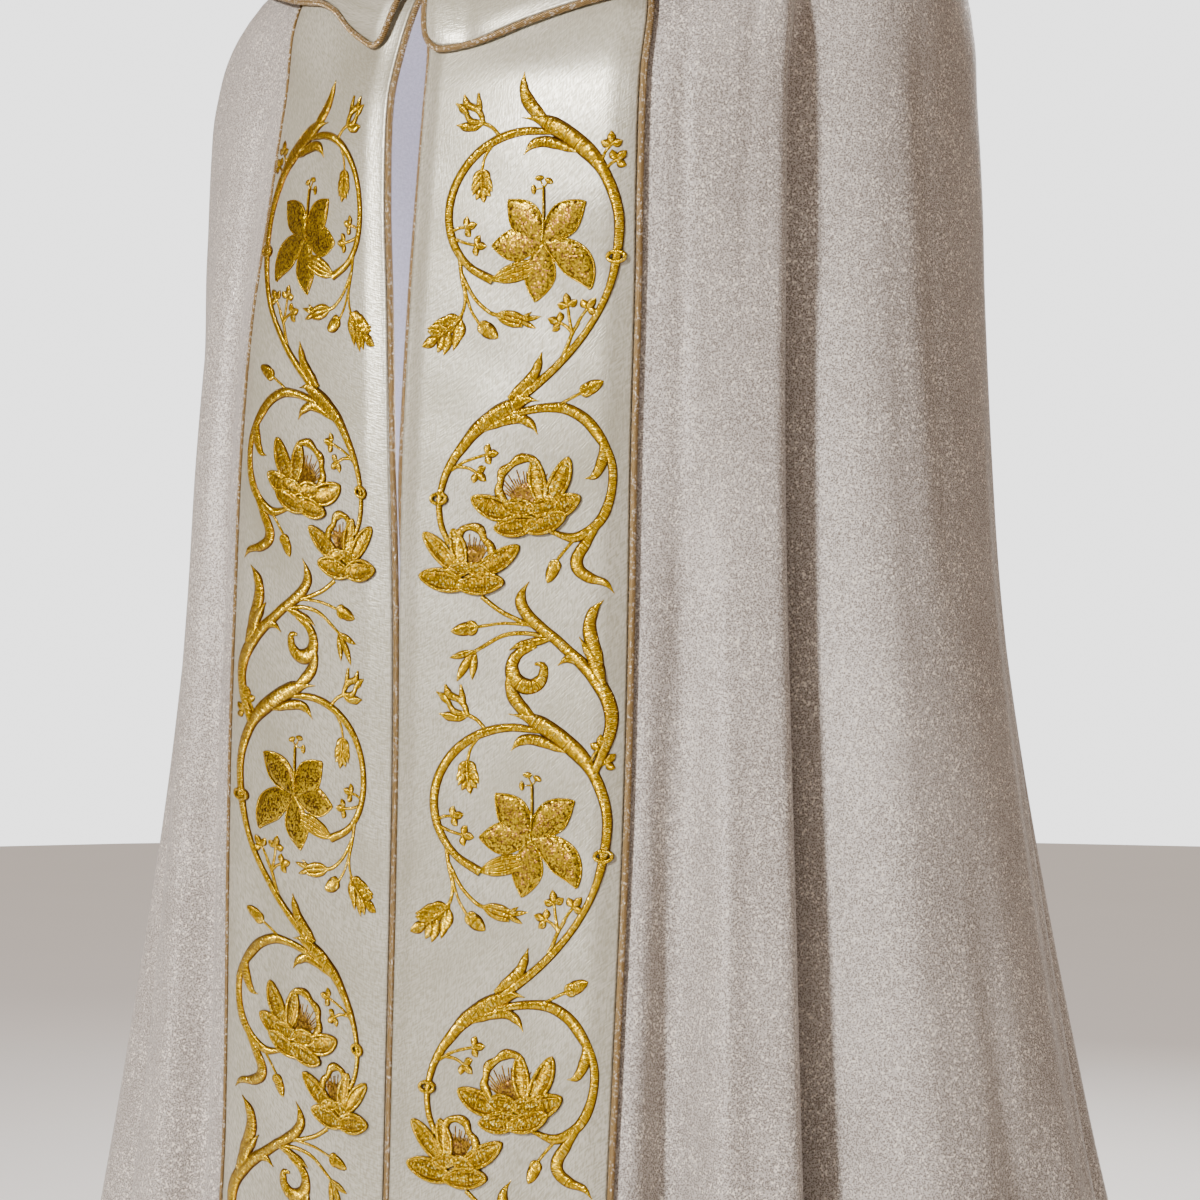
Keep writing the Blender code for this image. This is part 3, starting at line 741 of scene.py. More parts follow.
def gold_stitch(name, slant, gloss, rows=False):
    """Rayon and metal thread, sewn over padding: lustrous ridges, painted sparks, painted shade down the
    flanks and a painted highlight on the crown, and a dark edge all round that is partly painted shade.

    rows draws the ragged line where two rows of long and short stitches meet.
    """
    colours, sizes = chosen()
    made, tree, shader = surface(name)
    where = add(tree, "ShaderNodeUVMap", uv_map="cloth")
    side = add(tree, "ShaderNodeSeparateXYZ", {"Vector": where}).outputs["X"]
    rim = add(tree, "ShaderNodeMath", {0: side}, operation="ABSOLUTE")
    # each stitch lies a little higher or lower than the next, and painted shade darkens the dips between
    # stitches
    ridge, along = twisted(tree, where, sizes.stitch, slant)
    each = add(
        tree, "ShaderNodeTexNoise", {"W": along, "Scale": 0.8, "Detail": 3.0, "Roughness": 0.7},
        noise_dimensions="1D",
    )
    lit = add(
        tree, "ShaderNodeMapRange",
        {"Value": each, "From Min": 0.35, "From Max": 0.65, "To Min": 0.1, "To Max": 1.0},
    )
    lit = add(tree, "ShaderNodeMath", {0: ridge, 1: 0.45, 2: lit}, operation="MULTIPLY_ADD")
    lit = add(tree, "ShaderNodeMapRange", {"Value": lit, "From Max": 1.45})
    # the metal thread breaks the shine into flakes of random tone; painted shade darkens the run down its
    # flanks, and a painted highlight brightens its crown
    spot = add(tree, "ShaderNodeTexCoord").outputs["Object"]
    flake, chance, _ = facets(tree, spot, sizes.gold_flake)
    dullest = 0.4 if rows else 0.7
    broken = add(
        tree, "ShaderNodeMapRange",
        {"Value": chance, "From Min": 0.15, "From Max": 0.75, "To Min": dullest, "To Max": 1.1},
    )
    painted_form_shading = add(
        tree, "ShaderNodeMapRange",
        {"Value": rim, "From Min": 0.3 * RUN_HALF, "From Max": 0.9 * RUN_HALF, "To Min": 1.25,
         "To Max": 0.30},
    )
    lit = add(tree, "ShaderNodeMath", {0: lit, 1: broken}, operation="MULTIPLY")
    lit = add(tree, "ShaderNodeMath", {0: lit, 1: painted_form_shading}, operation="MULTIPLY", use_clamp=True)
    thread = add(
        tree, "ShaderNodeMix", {"Factor": lit, "A": colours.gold_shade, "B": colours.gold},
        data_type="RGBA",
    )
    brightest = 1.0 if rows else 0.6
    # painted highlight: random flakes take the pale spark colour, more of it on the painted-lit crown
    painted_spark = add(
        tree, "ShaderNodeMapRange",
        {"Value": chance, "From Min": 0.82, "From Max": 0.88, "To Max": brightest},
    )
    painted_spark = add(tree, "ShaderNodeMath", {0: painted_spark, 1: lit}, operation="MULTIPLY", use_clamp=True)
    thread = add(
        tree, "ShaderNodeMix", {"Factor": painted_spark, "A": thread, "B": colours.gold_painted_spark}, data_type="RGBA"
    )
    if rows:
        ragged = add(
            tree, "ShaderNodeTexNoise", {"W": along, "Scale": 2.0, "Detail": 1.0}, noise_dimensions="1D"
        )
        meet = add(
            tree, "ShaderNodeMapRange",
            {"Value": ragged, "To Min": 0.10 * RUN_HALF, "To Max": 0.68 * RUN_HALF},
        )
        gap = add(tree, "ShaderNodeMath", {0: rim, 1: meet}, operation="SUBTRACT")
        gap = add(tree, "ShaderNodeMath", {0: gap}, operation="ABSOLUTE")
        gap = add(
            tree, "ShaderNodeMapRange",
            {"Value": gap, "From Min": 0.04 * RUN_HALF, "From Max": 0.12 * RUN_HALF, "To Min": 0.75,
             "To Max": 0.0},
        )
        thread = add(
            tree, "ShaderNodeMix", {"Factor": gap, "A": thread, "B": colours.gold_edge}, data_type="RGBA"
        )
    # the dark edge: partly the thread ends going into the satin, partly painted shade where the run meets the
    # satin
    edge = add(
        tree, "ShaderNodeMapRange", {"Value": rim, "From Min": 0.72 * RUN_HALF, "From Max": 0.92 * RUN_HALF}
    )
    base = add(
        tree, "ShaderNodeMix", {"Factor": edge, "A": thread, "B": colours.gold_edge}, data_type="RGBA"
    )
    rough = add(tree, "ShaderNodeMapRange", {"Value": lit, "To Min": gloss + 0.12, "To Max": gloss})
    height = add(tree, "ShaderNodeMath", {0: each, 1: 1.5, 2: ridge}, operation="MULTIPLY_ADD")
    height = add(
        tree, "ShaderNodeMath", {0: flake, 1: 2.2 if rows else 1.4, 2: height}, operation="MULTIPLY_ADD"
    )
    bump = add(tree, "ShaderNodeBump", {"Height": height, "Strength": 0.55, "Distance": 0.00036})
    feed(tree, shader, {
        "Base Color": base, "Roughness": rough, "Normal": bump, "Metallic": 0.96, "Specular IOR Level": 0.6,
    })
    return made


def stipple_stitch(name, thread, metal):
    """Short filling stitches that lie all ways: fine facets that glitter, darker between them."""
    colours, sizes = chosen()
    made, tree, shader = surface(name)
    where = add(tree, "ShaderNodeTexCoord").outputs["Object"]
    height, chance, middle = facets(tree, where, sizes.short_stitch)
    tone = add(tree, "ShaderNodeMath", {0: chance, 1: middle}, operation="SUBTRACT")
    tone = add(tree, "ShaderNodeMapRange", {"Value": tone, "From Min": -0.35, "From Max": 0.30})
    base = add(
        tree, "ShaderNodeMix", {"Factor": tone, "A": colours.gold_edge, "B": thread}, data_type="RGBA"
    )
    bump = add(tree, "ShaderNodeBump", {"Height": height, "Strength": 0.7, "Distance": 0.0006})
    feed(tree, shader, {
        "Base Color": base, "Normal": bump, "Metallic": metal,
        "Roughness": 0.33, "Specular IOR Level": 0.5,
    })
    return made


def gilt_brass():
    """Stamped brass, gilt and tumbled: soft mirror gloss with fine handling marks."""
    colours, _ = chosen()
    made, tree, shader = surface("gilt_brass_stamped")
    where = add(tree, "ShaderNodeTexCoord").outputs["Object"]
    marks = add(tree, "ShaderNodeTexNoise", {"Vector": where, "Scale": 900.0, "Detail": 4.0})
    rough = add(tree, "ShaderNodeMapRange", {"Value": marks, "To Min": 0.22, "To Max": 0.42})
    bump = add(tree, "ShaderNodeBump", {"Height": marks, "Strength": 0.15, "Distance": 0.0002})
    feed(tree, shader, {"Base Color": colours.brass, "Roughness": rough, "Normal": bump, "Metallic": 1.0})
    return made


def painted_board():
    """The studio's floor: matt painted board, faintly clouded."""
    colours, _ = chosen()
    made, tree, shader = surface("painted_board")
    where = add(tree, "ShaderNodeTexCoord").outputs["Object"]
    cloud = add(tree, "ShaderNodeTexNoise", {"Vector": where, "Scale": 1.5, "Detail": 2.0})
    darker = tuple(0.96 * c for c in colours.floor[:3]) + (1.0,)
    base = add(
        tree, "ShaderNodeMix", {"Factor": cloud, "A": darker, "B": colours.floor}, data_type="RGBA"
    )
    feed(tree, shader, {"Base Color": base, "Roughness": 0.8})
    return made


FINISHES = {}


def finish(make, *values):
    """The material that make gives for those values, made once."""
    key = make, *values
    if key not in FINISHES:
        FINISHES[key] = make(*values)
    return FINISHES[key]


# ---- embroidery: drawn flat, in millimetres ------------------------------------------------------------
# x runs from the satin's front edge to its outer edge, y down from the start of the repeat. Angles are in
# degrees, 0 towards the outer edge and 90 down. Each shape is a run of stitches over padding: a middle
# line, half widths along it, the height of its crown and the height that it starts from.
ACROSS = 9  # points across each run of stitches
DOME = 0.62  # a run is no higher than this share of its half width
FLANK_DROP = 0.15  # its flanks lie lower than an ellipse's by this share
SINK = -0.06  # the stitches' ends lie just under the satin's face
CURVE_SAMPLES = 24  # between two drawn points, before they are spaced evenly
SPREAD = 1.08  # stitches spread a little past the width that they are drawn at
STEM_STEP, PETAL_STEP, FINE_STEP = 1.6, 1.7, 1.3  # distance between points along runs, petals and stalks
STIPPLE_TIP = 1.7  # how late a stippled petal closes to its point
PETAL_END = 0.03  # a petal's points keep this share of its width
RIM_INSET = 0.6  # an outlined petal's filling is narrower than its rim by this
LOBE_TURN = 42  # angle of a leaf's lobes to its midrib
LEAF_LOBES = ((0.04, 0.46), (0.22, 0.56), (0.44, 0.52), (0.66, 0.38))  # place and reach, as shares
STAMENS, STAMEN_REACH = 19, 25.0

Run = namedtuple("Run", "kind middle half height base")


def heading(angle):
    """One step in that direction."""
    return np.array([math.cos(math.radians(angle)), math.sin(math.radians(angle))])


def curve(points, step=STEM_STEP):
    """A smooth curve through the points, at even steps."""
    p = np.array(points, float)
    p = np.vstack((2 * p[0] - p[1], p, 2 * p[-1] - p[-2]))
    t = np.linspace(0, 1, CURVE_SAMPLES, endpoint=False)[:, None]
    found = []
    for a, b, c, d in zip(p, p[1:], p[2:], p[3:]):
        found.append(
            0.5 * (2 * b + (c - a) * t + (2 * a - 5 * b + 4 * c - d) * t**2 + (3 * b - a - 3 * c + d) * t**3)
        )
    dense = np.vstack(found + [p[-2:-1]])
    along = lengths(dense)
    places = np.linspace(0, along[-1], max(4, round(along[-1] / step) + 1))
    return np.stack([np.interp(places, along, dense[:, k]) for k in range(2)], axis=1)


def arc(centre, radii, start, end, step=20):
    """Points round part of an ellipse."""
    turns = np.radians(np.linspace(start, end, max(2, round(abs(end - start) / step) + 1)))
    return [(centre[0] + radii[0] * math.cos(t), centre[1] + radii[1] * math.sin(t)) for t in turns]


def run(points, widths, height=1.3, base=0.0, kind="satin", step=STEM_STEP):
    """Stitches along a curve; widths are half widths at even shares of it, eased from one to the next."""
    middle = curve(points, step)
    shares = np.linspace(0, len(widths) - 1, len(middle))
    low = np.minimum(shares.astype(int), len(widths) - 2)
    w = SPREAD * np.array(widths, float)
    half = w[low] + (w[low + 1] - w[low]) * smoothstep(shares - low)
    return Run(kind, middle, half, height, base)


def petal(base, angle, length, half, bend=0.0, height=1.1, lift=0.25, kind="satin", fullest=0.5, tip=0.9):
    """A pointed oval from base; bend turns its tip away, and fullest is the share where it is widest.

    A stippled petal keeps its breadth for longer, and then closes to a sharp point.
    """
    t = np.linspace(0, 1, max(7, round(length / PETAL_STEP) + 1))
    turns = np.radians(angle + bend * (t - 0.5))
    steps = np.stack((np.cos(turns), np.sin(turns)), axis=1)[1:] * length / (len(t) - 1)
    middle = np.vstack(([base], base + np.cumsum(steps, axis=0)))
    profile = np.sin(math.pi * t ** (math.log(0.5) / math.log(fullest))) ** tip
    if kind == "stipple":
        closing_in = np.maximum(t - fullest, 0) / (1 - fullest)
        profile = np.where(t < fullest, profile, 1 - closing_in**STIPPLE_TIP)
    return Run(kind, middle, half * np.maximum(profile, PETAL_END), height, lift)


def between(start, end, half, bend=0.0, **more):
    """A petal from start to end, bowed by bend."""
    reach = np.array(end, float) - start
    angle = math.degrees(math.atan2(reach[1], reach[0]))
    bow = math.radians(0.5 * bend)
    length = float(np.linalg.norm(reach)) * (bow / math.sin(bow) if bend else 1.0)
    return petal(np.array(start, float), angle, length, half, bend, **more)


def outline(fill):
    """The points all round a petal's edge."""
    forward = unit(np.gradient(fill.middle, axis=0))
    sideways = np.stack((-forward[:, 1], forward[:, 0]), axis=1) * fill.half[:, None]
    edge = np.vstack((fill.middle + sideways, (fill.middle - sideways)[-2:0:-1]))
    return np.vstack((edge, edge[:1]))


def outlined(start, end, half, bend, lift):
    """A padded petal: long and short filling, with a raised rim of satin stitch all round."""
    inner = half - RIM_INSET
    fill = between(start, end, inner, bend, height=0.9, lift=lift, kind="filling", tip=0.62)
    return [fill, run(outline(fill), (0.95, 1.2, 1.0, 1.2, 0.95), 0.95, lift + 0.35, step=1.5)]


def leaf(base, angle, length, bend):
    """A serrated leaf: pairs of lobes that point forward from a midrib, and one at its tip."""
    rib = petal(base, angle, 0.80 * length, 1.0, bend, 0.9, 0.95, tip=0.4)
    blade = petal(base, angle, 0.86 * length, 0.10 * length, bend, 0.6, 0.05, fullest=0.42, tip=0.6)
    shapes = [blade]
    for share, reach in LEAF_LOBES:
        here = rib.middle[round(share * (len(rib.middle) - 1))]
        way = angle + bend * (share - 0.5)
        for turn in (-LOBE_TURN, LOBE_TURN):
            lobe = petal(here, way + turn, reach * length, 0.115 * length, -0.5 * turn, 1.0, 0.2, tip=1.05)
            shapes.append(lobe)
    tip = petal(rib.middle[-4], angle + 0.4 * bend, 0.42 * length, 0.13 * length, 0, 1.0, 0.3)
    return shapes + [tip, rib]


def trefoil(heart, angle):
    """A small flower of three lobes."""
    heart = np.array(heart, float)
    lobes = ((-74, 6.8, 0.2), (74, 6.8, 0.2), (0, 7.82, 0.35))
    return [petal(heart, angle + turn, reach, 2.8, -0.5 * turn, 1.1, lift, tip=1.0)
            for turn, reach, lift in lobes]


def sprigs(*stalks):
    """Thin stalks that end in small three-lobed flowers, each given as its angle and its points."""
    shapes = []
    for angle, *stalk in stalks:
        shapes += [run(stalk, (1.15, 1.0, 1.0), 0.9, step=FINE_STEP)] + trefoil(stalk[-1], angle)
    return shapes


def bud(stalk, end, half):
    """A closed bud on its stalk, with two short sepals at its foot."""
    foot = np.array(stalk[-1], float)
    reach = np.array(end, float) - foot
    angle = math.degrees(math.atan2(reach[1], reach[0]))
    length = float(np.linalg.norm(reach))
    shapes = [run(stalk, (1.1, 0.99, 0.99), 0.9, step=FINE_STEP)]
    shapes.append(between(foot, end, half, height=1.3, lift=0.2, fullest=0.45, tip=0.62))
    for turn in (-34, 34):
        shapes.append(petal(foot, angle + turn, 0.45 * length, 0.42 * half, -turn, 0.9, 0.7))
    return shapes


def rosebud():
    """An opening rosebud beside the lily's ring: an almond-shaped hollow between forked petals."""
    foot = (50, 28)
    return [
        run([(61, 36), (56, 31), foot], (1.3, 1.2, 1.3), 0.9, step=FINE_STEP),
        run([foot, (44.1, 30), (37.5, 29), (30.5, 27.4)], (1.1, 2.2, 2.8, 0.5), 1.2, 0.2, step=FINE_STEP),
        run([foot, (45.4, 27), (40.8, 26), (37.8, 22.7), (36.6, 19.6)], (1.2, 1.8, 2.1, 1.9, 1.5), 1.1, 0.3,
            step=FINE_STEP),
        run([(38.2, 22), (33.5, 17.4), (28.6, 14.2)], (1.6, 2.6, 0.5), 1.1, 0.25, step=FINE_STEP),
        run([(47.8, 24), (46, 16.8), (44.8, 9.8)], (1.4, 2.1, 0.9), 1.1, 0.35, step=FINE_STEP),
        run([foot, (47.4, 22.4), (44.1, 19), (40.1, 17.2), (36.8, 15.4), (34.6, 9.8)],
            (1.3, 2.0, 2.1, 2.3, 2.5, 0.8), 1.2, 0.45, step=FINE_STEP),
    ]


def ribbed(start, end, half, ribs):
    """A rounded body sewn in ribs side by side, such as a calyx."""
    start, end = np.array(start, float), np.array(end, float)
    reach = end - start
    across = np.array((-reach[1], reach[0])) / np.linalg.norm(reach)
    width = half * 1.25 / ribs
    shapes = []
    for k in range(ribs):
        offset = (2 * k / (ribs - 1) - 1) * (half - 0.8 * width) * across
        points = (start + 0.12 * offset, start + 0.30 * reach + 0.8 * offset, start + 0.62 * reach + offset,
                  end + 0.72 * offset)
        tall = 1.2 + 0.3 * (k == ribs // 2)
        shapes.append(run(points, (0.4 * width, 0.9 * width, width, 0.7 * width), tall, 0.3, step=1.4))
    return shapes


def lily(heart):
    """Five broad petals of short stitches inside a thin rim, and a stamen with three anthers."""
    heart = np.array(heart, float)
    shapes = []
    for angle, reach, half, bend, lift in (
        (180, 33, 9.3, 0, 0.15),
        (97, 34.5, 9.6, 10, 0.28),
        (-131, 35, 9.6, -14, 0.41),
        (42, 43, 9.4, 66, 0.54),
        (-42, 35, 9.6, 18, 0.67),
    ):
        fill = petal(heart, angle, reach, half, bend, 1.0, lift, "stipple", 0.55, 0.66)
        shapes += [fill, run(outline(fill), (0.55, 0.65, 0.55), 0.6, lift + 0.05, step=1.5)]
    top = heart + (0, -32)
    shapes.append(run((heart, heart + (0.4, -16), top), (0.6, 0.75, 0.7), 0.9, 1.3, step=FINE_STEP))
    for end, turn in (((-3, -6), -4), ((3.2, -4), 28), ((-6.5, 0.5), 86)):
        anther = top + end
        shapes.append(run((top, 0.6 * top + 0.4 * anther, anther), (0.5, 0.5, 0.5), 0.6, 0.3, step=1.2))
        shapes.append(petal(anther - 3.1 * heading(turn), turn, 6.2, 1.9, 0, 1.1, 0.4, tip=0.5))
    return shapes


def stamens(foot, angle, spread):
    """Fine stitches that fan out inside the crown, to uneven lengths."""
    foot = np.array(foot, float)
    shapes = []
    for k in range(STAMENS):
        way = heading(angle + spread * (k / (STAMENS - 1) - 0.5))
        length = STAMEN_REACH * (0.86 + 0.14 * math.cos(2.4 * k))
        points = (foot + 3 * way, foot + 0.6 * length * way, foot + length * way)
        shapes.append(run(points, (0.6, 0.6, 0.45), 0.5, 0.05, "stamens"))
    return shapes


def rose(heart):
    """A rose from the side: a scalloped crown round its stamens, upright petals and padded outer ones."""
    heart = np.array(heart, float)
    crown = heart + ((-15, -2), (-19, -8), (-18, -13), (-17, -19), (-12, -23), (-6, -27), (1, -27), (6, -24))
    seat = between(heart + (-2, 2), heart + (-1, -13), 7.0, 0, height=0.5, lift=0.05, kind="stamens", tip=0.5)
    shapes = [seat] + stamens(heart + (0, 3), -104, 84)
    shapes.append(run(crown, (2.2, 3.1, 2.1, 3.2, 2.1, 3.2, 2.3, 1.6), 1.5, 0.3))
    for start, end, half, bend, lift in (
        ((8, 0), (3, -27), 5.2, 8, 0.5),
        ((11, 1), (24, -27), 6.0, -14, 0.65),
        ((-6, 6), (-36, -4), 6.8, 22, 0.8),
        ((4, 6), (31, -4), 6.8, -20, 0.95),
        ((-16, 1), (4, 3), 5.4, 8, 1.1),
        ((0, 3), (19, 0), 5.2, -10, 1.2),
        ((-21, 14), (6, 10), 6.3, -16, 1.35),
        ((-2, 15), (23, 6), 6.0, -14, 1.5),
    ):
        shapes += outlined(heart + start, heart + end, half, bend, lift)
    return shapes


def low_rose():
    """The rose at the end of the vine: fewer petals, seen a little from above."""
    crown = ((43, 290), (42, 281), (43.5, 271), (50, 268), (56.5, 270), (59, 275.5), (63, 279.5), (63.8, 285),
             (60, 289))
    seat = between((51, 294), (51.5, 281), 6.0, 0, height=0.5, lift=0.05, kind="stamens", tip=0.5)
    shapes = [seat] + stamens((51, 297), -90, 66)
    shapes.append(run(crown, (1.8, 2.0, 2.9, 2.1, 3.0, 2.1, 3.0, 1.6), 1.5, 0.3))
    for start, end, half, bend, lift in (
        ((41, 295), (19, 271.5), 5.4, -10, 0.5),
        ((46, 293), (38.6, 269.5), 5.0, -8, 0.65),
        ((53, 296), (81, 280), 6.0, -16, 0.8),
        ((35, 296), (52, 292), 4.2, 12, 0.95),
        ((48, 292), (64, 297), 4.2, 12, 1.05),
        ((48, 304), (17, 297), 6.8, -10, 1.2),
        ((43, 304), (72, 301), 6.6, 8, 1.35),
    ):
        shapes += outlined(start, end, half, bend, lift)
    return shapes


def knot(centre):
    """A small ring that clasps the stem."""
    ring = arc(centre, (5.0, 3.0), 0, 360, 30)
    seed = petal(np.array(centre) - (2.4, 0), 0, 4.8, 1.1, 0, 0.6, 1.2, tip=0.5)
    return [run(ring, (1.3, 1.3), 1.2, 1.5, step=1.2), seed]


# The vine of one repeat, laid out on the band: a lily in a ring, two roses in the next, then a tendril.
LILY_RING = ((80, 80), (52, 45))  # centre and radii of the ring's inner half


def lily_scroll():
    """The upper part of the repeat."""
    vine = [(76, 27), (90, 30), (109, 41), (126, 57), (136, 78), (138, 98), (133, 127), (122, 150),
            (106, 170), (88, 186), (70, 199)]
    shapes = [
        run(arc(*LILY_RING, 112, 289, 22) + [(104, 41)], (2.8, 2.4, 2.9, 3.1, 3.0, 2.8, 2.4, 0.8), 1.6),
        run(vine, (0.3, 5.0, 4.9, 3.4, 2.9, 2.7, 2.2, 2.2, 2.5, 2.8, 2.2), 1.7, 0.25),
        run([(76, 1), (76, 8), (78, 15), (84, 23), (92, 29)], (0.3, 2.9, 4.1, 3.9, 2.0), 1.6, 0.1),
        run([(78, 49), (84, 43), (92, 42), (102, 45), (114, 50)], (0.3, 3.1, 3.3, 2.5, 0.5), 1.5, 0.1),
    ]
    shapes += rosebud()
    shapes += [run(((57, 41), (52, 48), (50, 56)), (1.3, 1.1, 1.1), 0.9)] + leaf((50, 55), 84, 21, -12)
    shapes += sprigs(
        (-12, (30, 91), (36, 89), (41, 89)),
        (8, (32, 95), (40, 98), (48, 100)),
        (-90, (127, 58), (129, 51), (133, 46)),
        (-42, (130, 60), (133, 57), (136, 55)),
    )
    shapes += lily((92, 101))
    shapes += ribbed((60, 121), (87, 114), 5.8, 4)
    shapes += knot((136.5, 110))
    # below the ring: a leaf, a bud and a half open bud on one stalk
    shapes.append(run([(37, 106), (39, 118), (42, 130), (41, 139), (37, 145)], (1.6, 1.4, 1.2, 1.2), 1.0))
    shapes += leaf((41, 142), 145, 31, 24)
    shapes += bud(((41, 124), (46, 138), (52, 147)), (65, 156), 4.9)
    shapes.append(run([(39, 117), (48, 131), (58, 140), (66, 143)], (1.4, 1.2, 1.3), 1.0))
    shapes += ribbed((63, 142), (81, 147), 4.6, 3)
    for end, half in (((92, 144), 1.9), ((89, 151), 1.9), ((86, 141), 1.4)):
        shapes.append(between((78, 146), end, half, lift=0.2))
    # inside the vine's right bend
    shapes.append(run([(104, 172), (108, 163), (111, 155), (115, 148)], (1.5, 1.3, 1.2), 1.0))
    return shapes + sprigs(
        (-160, (111, 154), (107, 150), (103, 148)),
        (-100, (111, 154), (109, 145), (108, 138)),
        (-50, (114, 149), (117, 144), (120, 140)),
    )


def rose_scroll():
    """The middle part of the repeat."""
    vine = [(92, 194), (84, 193), (74, 197), (63, 203), (53, 210), (45, 219), (38, 228), (33, 237), (30, 247),
            (29, 257), (31, 268), (36, 278)]
    branch = [(74, 202), (88, 199), (99, 198), (109, 199), (120, 205), (128, 214), (134, 224), (137, 234),
              (137, 245), (135, 255), (131, 264), (124, 271), (114, 275), (100, 271)]
    shapes = [
        run(branch, (2.3, 2.6, 3.3, 3.4, 2.4, 2.5, 3.0, 3.0, 1.5), 1.5),
        run([(93, 165), (91, 172), (88, 179), (82, 185), (73, 192)], (0.3, 2.9, 3.7, 3.4, 1.5), 1.5, 0.4),
        run(vine, (0.3, 4.2, 5.1, 4.5, 3.6, 3.0, 2.5, 2.1, 2.1, 1.9), 1.7, 0.4),
        run([(92, 214), (88, 208), (80, 204), (69, 206), (58, 211)], (0.3, 2.9, 3.3, 2.6, 0.8), 1.4, 0.2),
        run([(121, 240), (126, 239), (130, 233), (132, 224), (131, 215)],
            (0.3, 2.7, 3.4, 2.8, 0.8), 1.4, 0.2),
        run([(131, 264), (123, 277), (117, 287), (118, 294), (125, 299), (134, 302), (139, 308)],
            (1.4, 2.4, 3.5, 3.9, 3.4, 2.3, 0.3), 1.5, 0.2),
    ]
    shapes += bud(((104, 197), (111, 193), (117, 190)), (131, 183), 4.4)
    shapes += sprigs((-6, (37, 234), (46, 229), (60, 225)), (40, (41, 232), (48, 233), (54, 236)))
    shapes += knot((29, 251))
    shapes += bud(((115, 276), (109, 283), (105, 288)), (99, 302), 4.2)
    return shapes + rose((87, 255)) + low_rose()


def tendrils():
    """The lower part of the repeat, from the second rose to the next ring."""
    vine = [(88, 301), (84, 307), (83, 314), (88, 322), (96, 329), (104, 335), (113, 343), (121, 350),
            (129, 359), (136, 370), (139, 382), (137, 395), (132, 408), (129, 416)]
    shapes = [
        run(vine, (0.3, 3.7, 3.7, 3.2, 3.3, 3.8, 4.2, 4.1, 3.6, 3.0, 2.4), 1.7, 0.2),
        run([(133, 312), (127, 319), (125, 328), (127, 338), (133, 354)],
            (0.3, 3.4, 4.3, 4.0, 1.6), 1.7, 0.4),
        run([(119, 334), (123, 340), (128, 348), (134, 362)], (0.3, 3.0, 4.3, 2.0), 1.6, 0.8),
        run([(106, 351), (112, 347), (119, 349), (128, 358)], (0.3, 2.7, 2.8, 0.8), 1.3, 0.4),
        run([(58, 310), (69, 318), (79, 323), (94, 329)], (1.6, 1.5, 1.4), 1.1),
        run([(103, 335), (91, 337), (82, 339), (76, 342)], (1.0, 2.7, 2.4, 0.3), 1.2, 0.5),
        run([(101, 335), (88, 332), (73, 333), (59, 340), (52, 344)], (1.6, 1.4, 1.3, 1.2), 1.1),
        run([(93, 339), (83, 343), (78, 350), (79, 358), (85, 363), (92, 363), (97, 358), (97, 351),
             (92, 350)], (1.6, 2.9, 3.8, 4.6, 4.8, 4.2, 2.9, 1.0), 1.6),
        between((54, 342), (37, 347), 2.5, 10, lift=0.3),
        between((53, 343), (42, 361), 3.3, -10, lift=0.2),
        between((55, 343), (52, 360), 2.9, -12, lift=0.3),
    ]
    return shapes + bud(((90, 327), (72, 326), (56, 328)), (38, 331), 4.4)


def closing():
    """The end of the vine above the hem: it curls up between two leaves."""
    shapes = [
        run([(131, 410), (127, 426), (112, 440)] + arc((96, 432), (14, 12), 60, 330, 30) + [(98, 430)],
            (2.4, 2.6, 3.2, 4.0, 4.0, 3.0, 1.0), 1.6),
        run([(128, 424), (114, 422), (104, 412)], (0.9, 3.0, 0.3), 1.4, 0.3),
    ]
    return shapes + leaf((112, 444), 150, 26, -16)


MM = 0.001  # the drawing's unit
DESIGN_START = {1: 0.188, -1: 0.1717}  # drop of the first leaf's tip on each band
DESIGN_MIDDLE = 75.0
# The two bands weren't sewn quite alike. In millimetres, with x across and y down the design: the distance
# from the front edge is shift + x * (across + curve * x), and the drop is y * (down + bow * y) and lean per
# millimetre across.
Setting = namedtuple("Setting", "shift across curve down bow lean")
DESIGN_SET = {
    1: Setting(0.0, 1.0, 0.0, 1.0, 0.0, 0.0),
    -1: Setting(0.0, 0.552, 0.00284, 1.037, -0.000084, -0.16),
}
BOW_END = 600.0  # mm down the band, past which the repeats are even
HEM_MARGIN = 0.020


def sewn(side, shapes_by_repeat, repeat, kinds):
    """The shapes as grids for grid_mesh, laid on that side's satin as far down as the hem leaves room.

    kinds names the finishes in their order on the mesh.
    """
    band, put, grids = Band(side), DESIGN_SET[side], []
    across = np.linspace(-1, 1, ACROSS)
    for number, shapes in shapes_by_repeat:
        for shape in shapes:
            forward = unit(np.gradient(shape.middle, axis=0))
            sideways = np.stack((-forward[:, 1], forward[:, 0]), axis=1)
            flat = shape.middle[:, None] + (shape.half[:, None] * across)[..., None] * sideways[:, None]
            x, y = flat[..., 0], flat[..., 1] * repeat / REPEAT_DRAWN + number * repeat / MM
            bowed = np.minimum(y, BOW_END)
            lower = put.bow * (2 * y - bowed) * bowed + put.lean * (x - DESIGN_MIDDLE)
            drops = DESIGN_START[side] + MM * (put.down * y + lower)
            if drops.max() > HEM_DROP - HEM_MARGIN:
                continue
            crown = np.minimum(shape.height, DOME * shape.half)[:, None]
            rise = shape.base + crown * np.sqrt(1 - across**2) * (1 - FLANK_DROP * across**2)
            rise[:, (0, -1)] = SINK
            points, normals = band.at(MM * (put.shift + x * (put.across + put.curve * x)), drops)
            along = MM * lengths(shape.middle)
            uv = np.stack(np.broadcast_arrays(RUN_HALF * across[None, :], along[:, None]), axis=-1)
            grids.append((kinds.index(shape.kind), points + MM * rise[..., None] * normals, uv))
    return grids


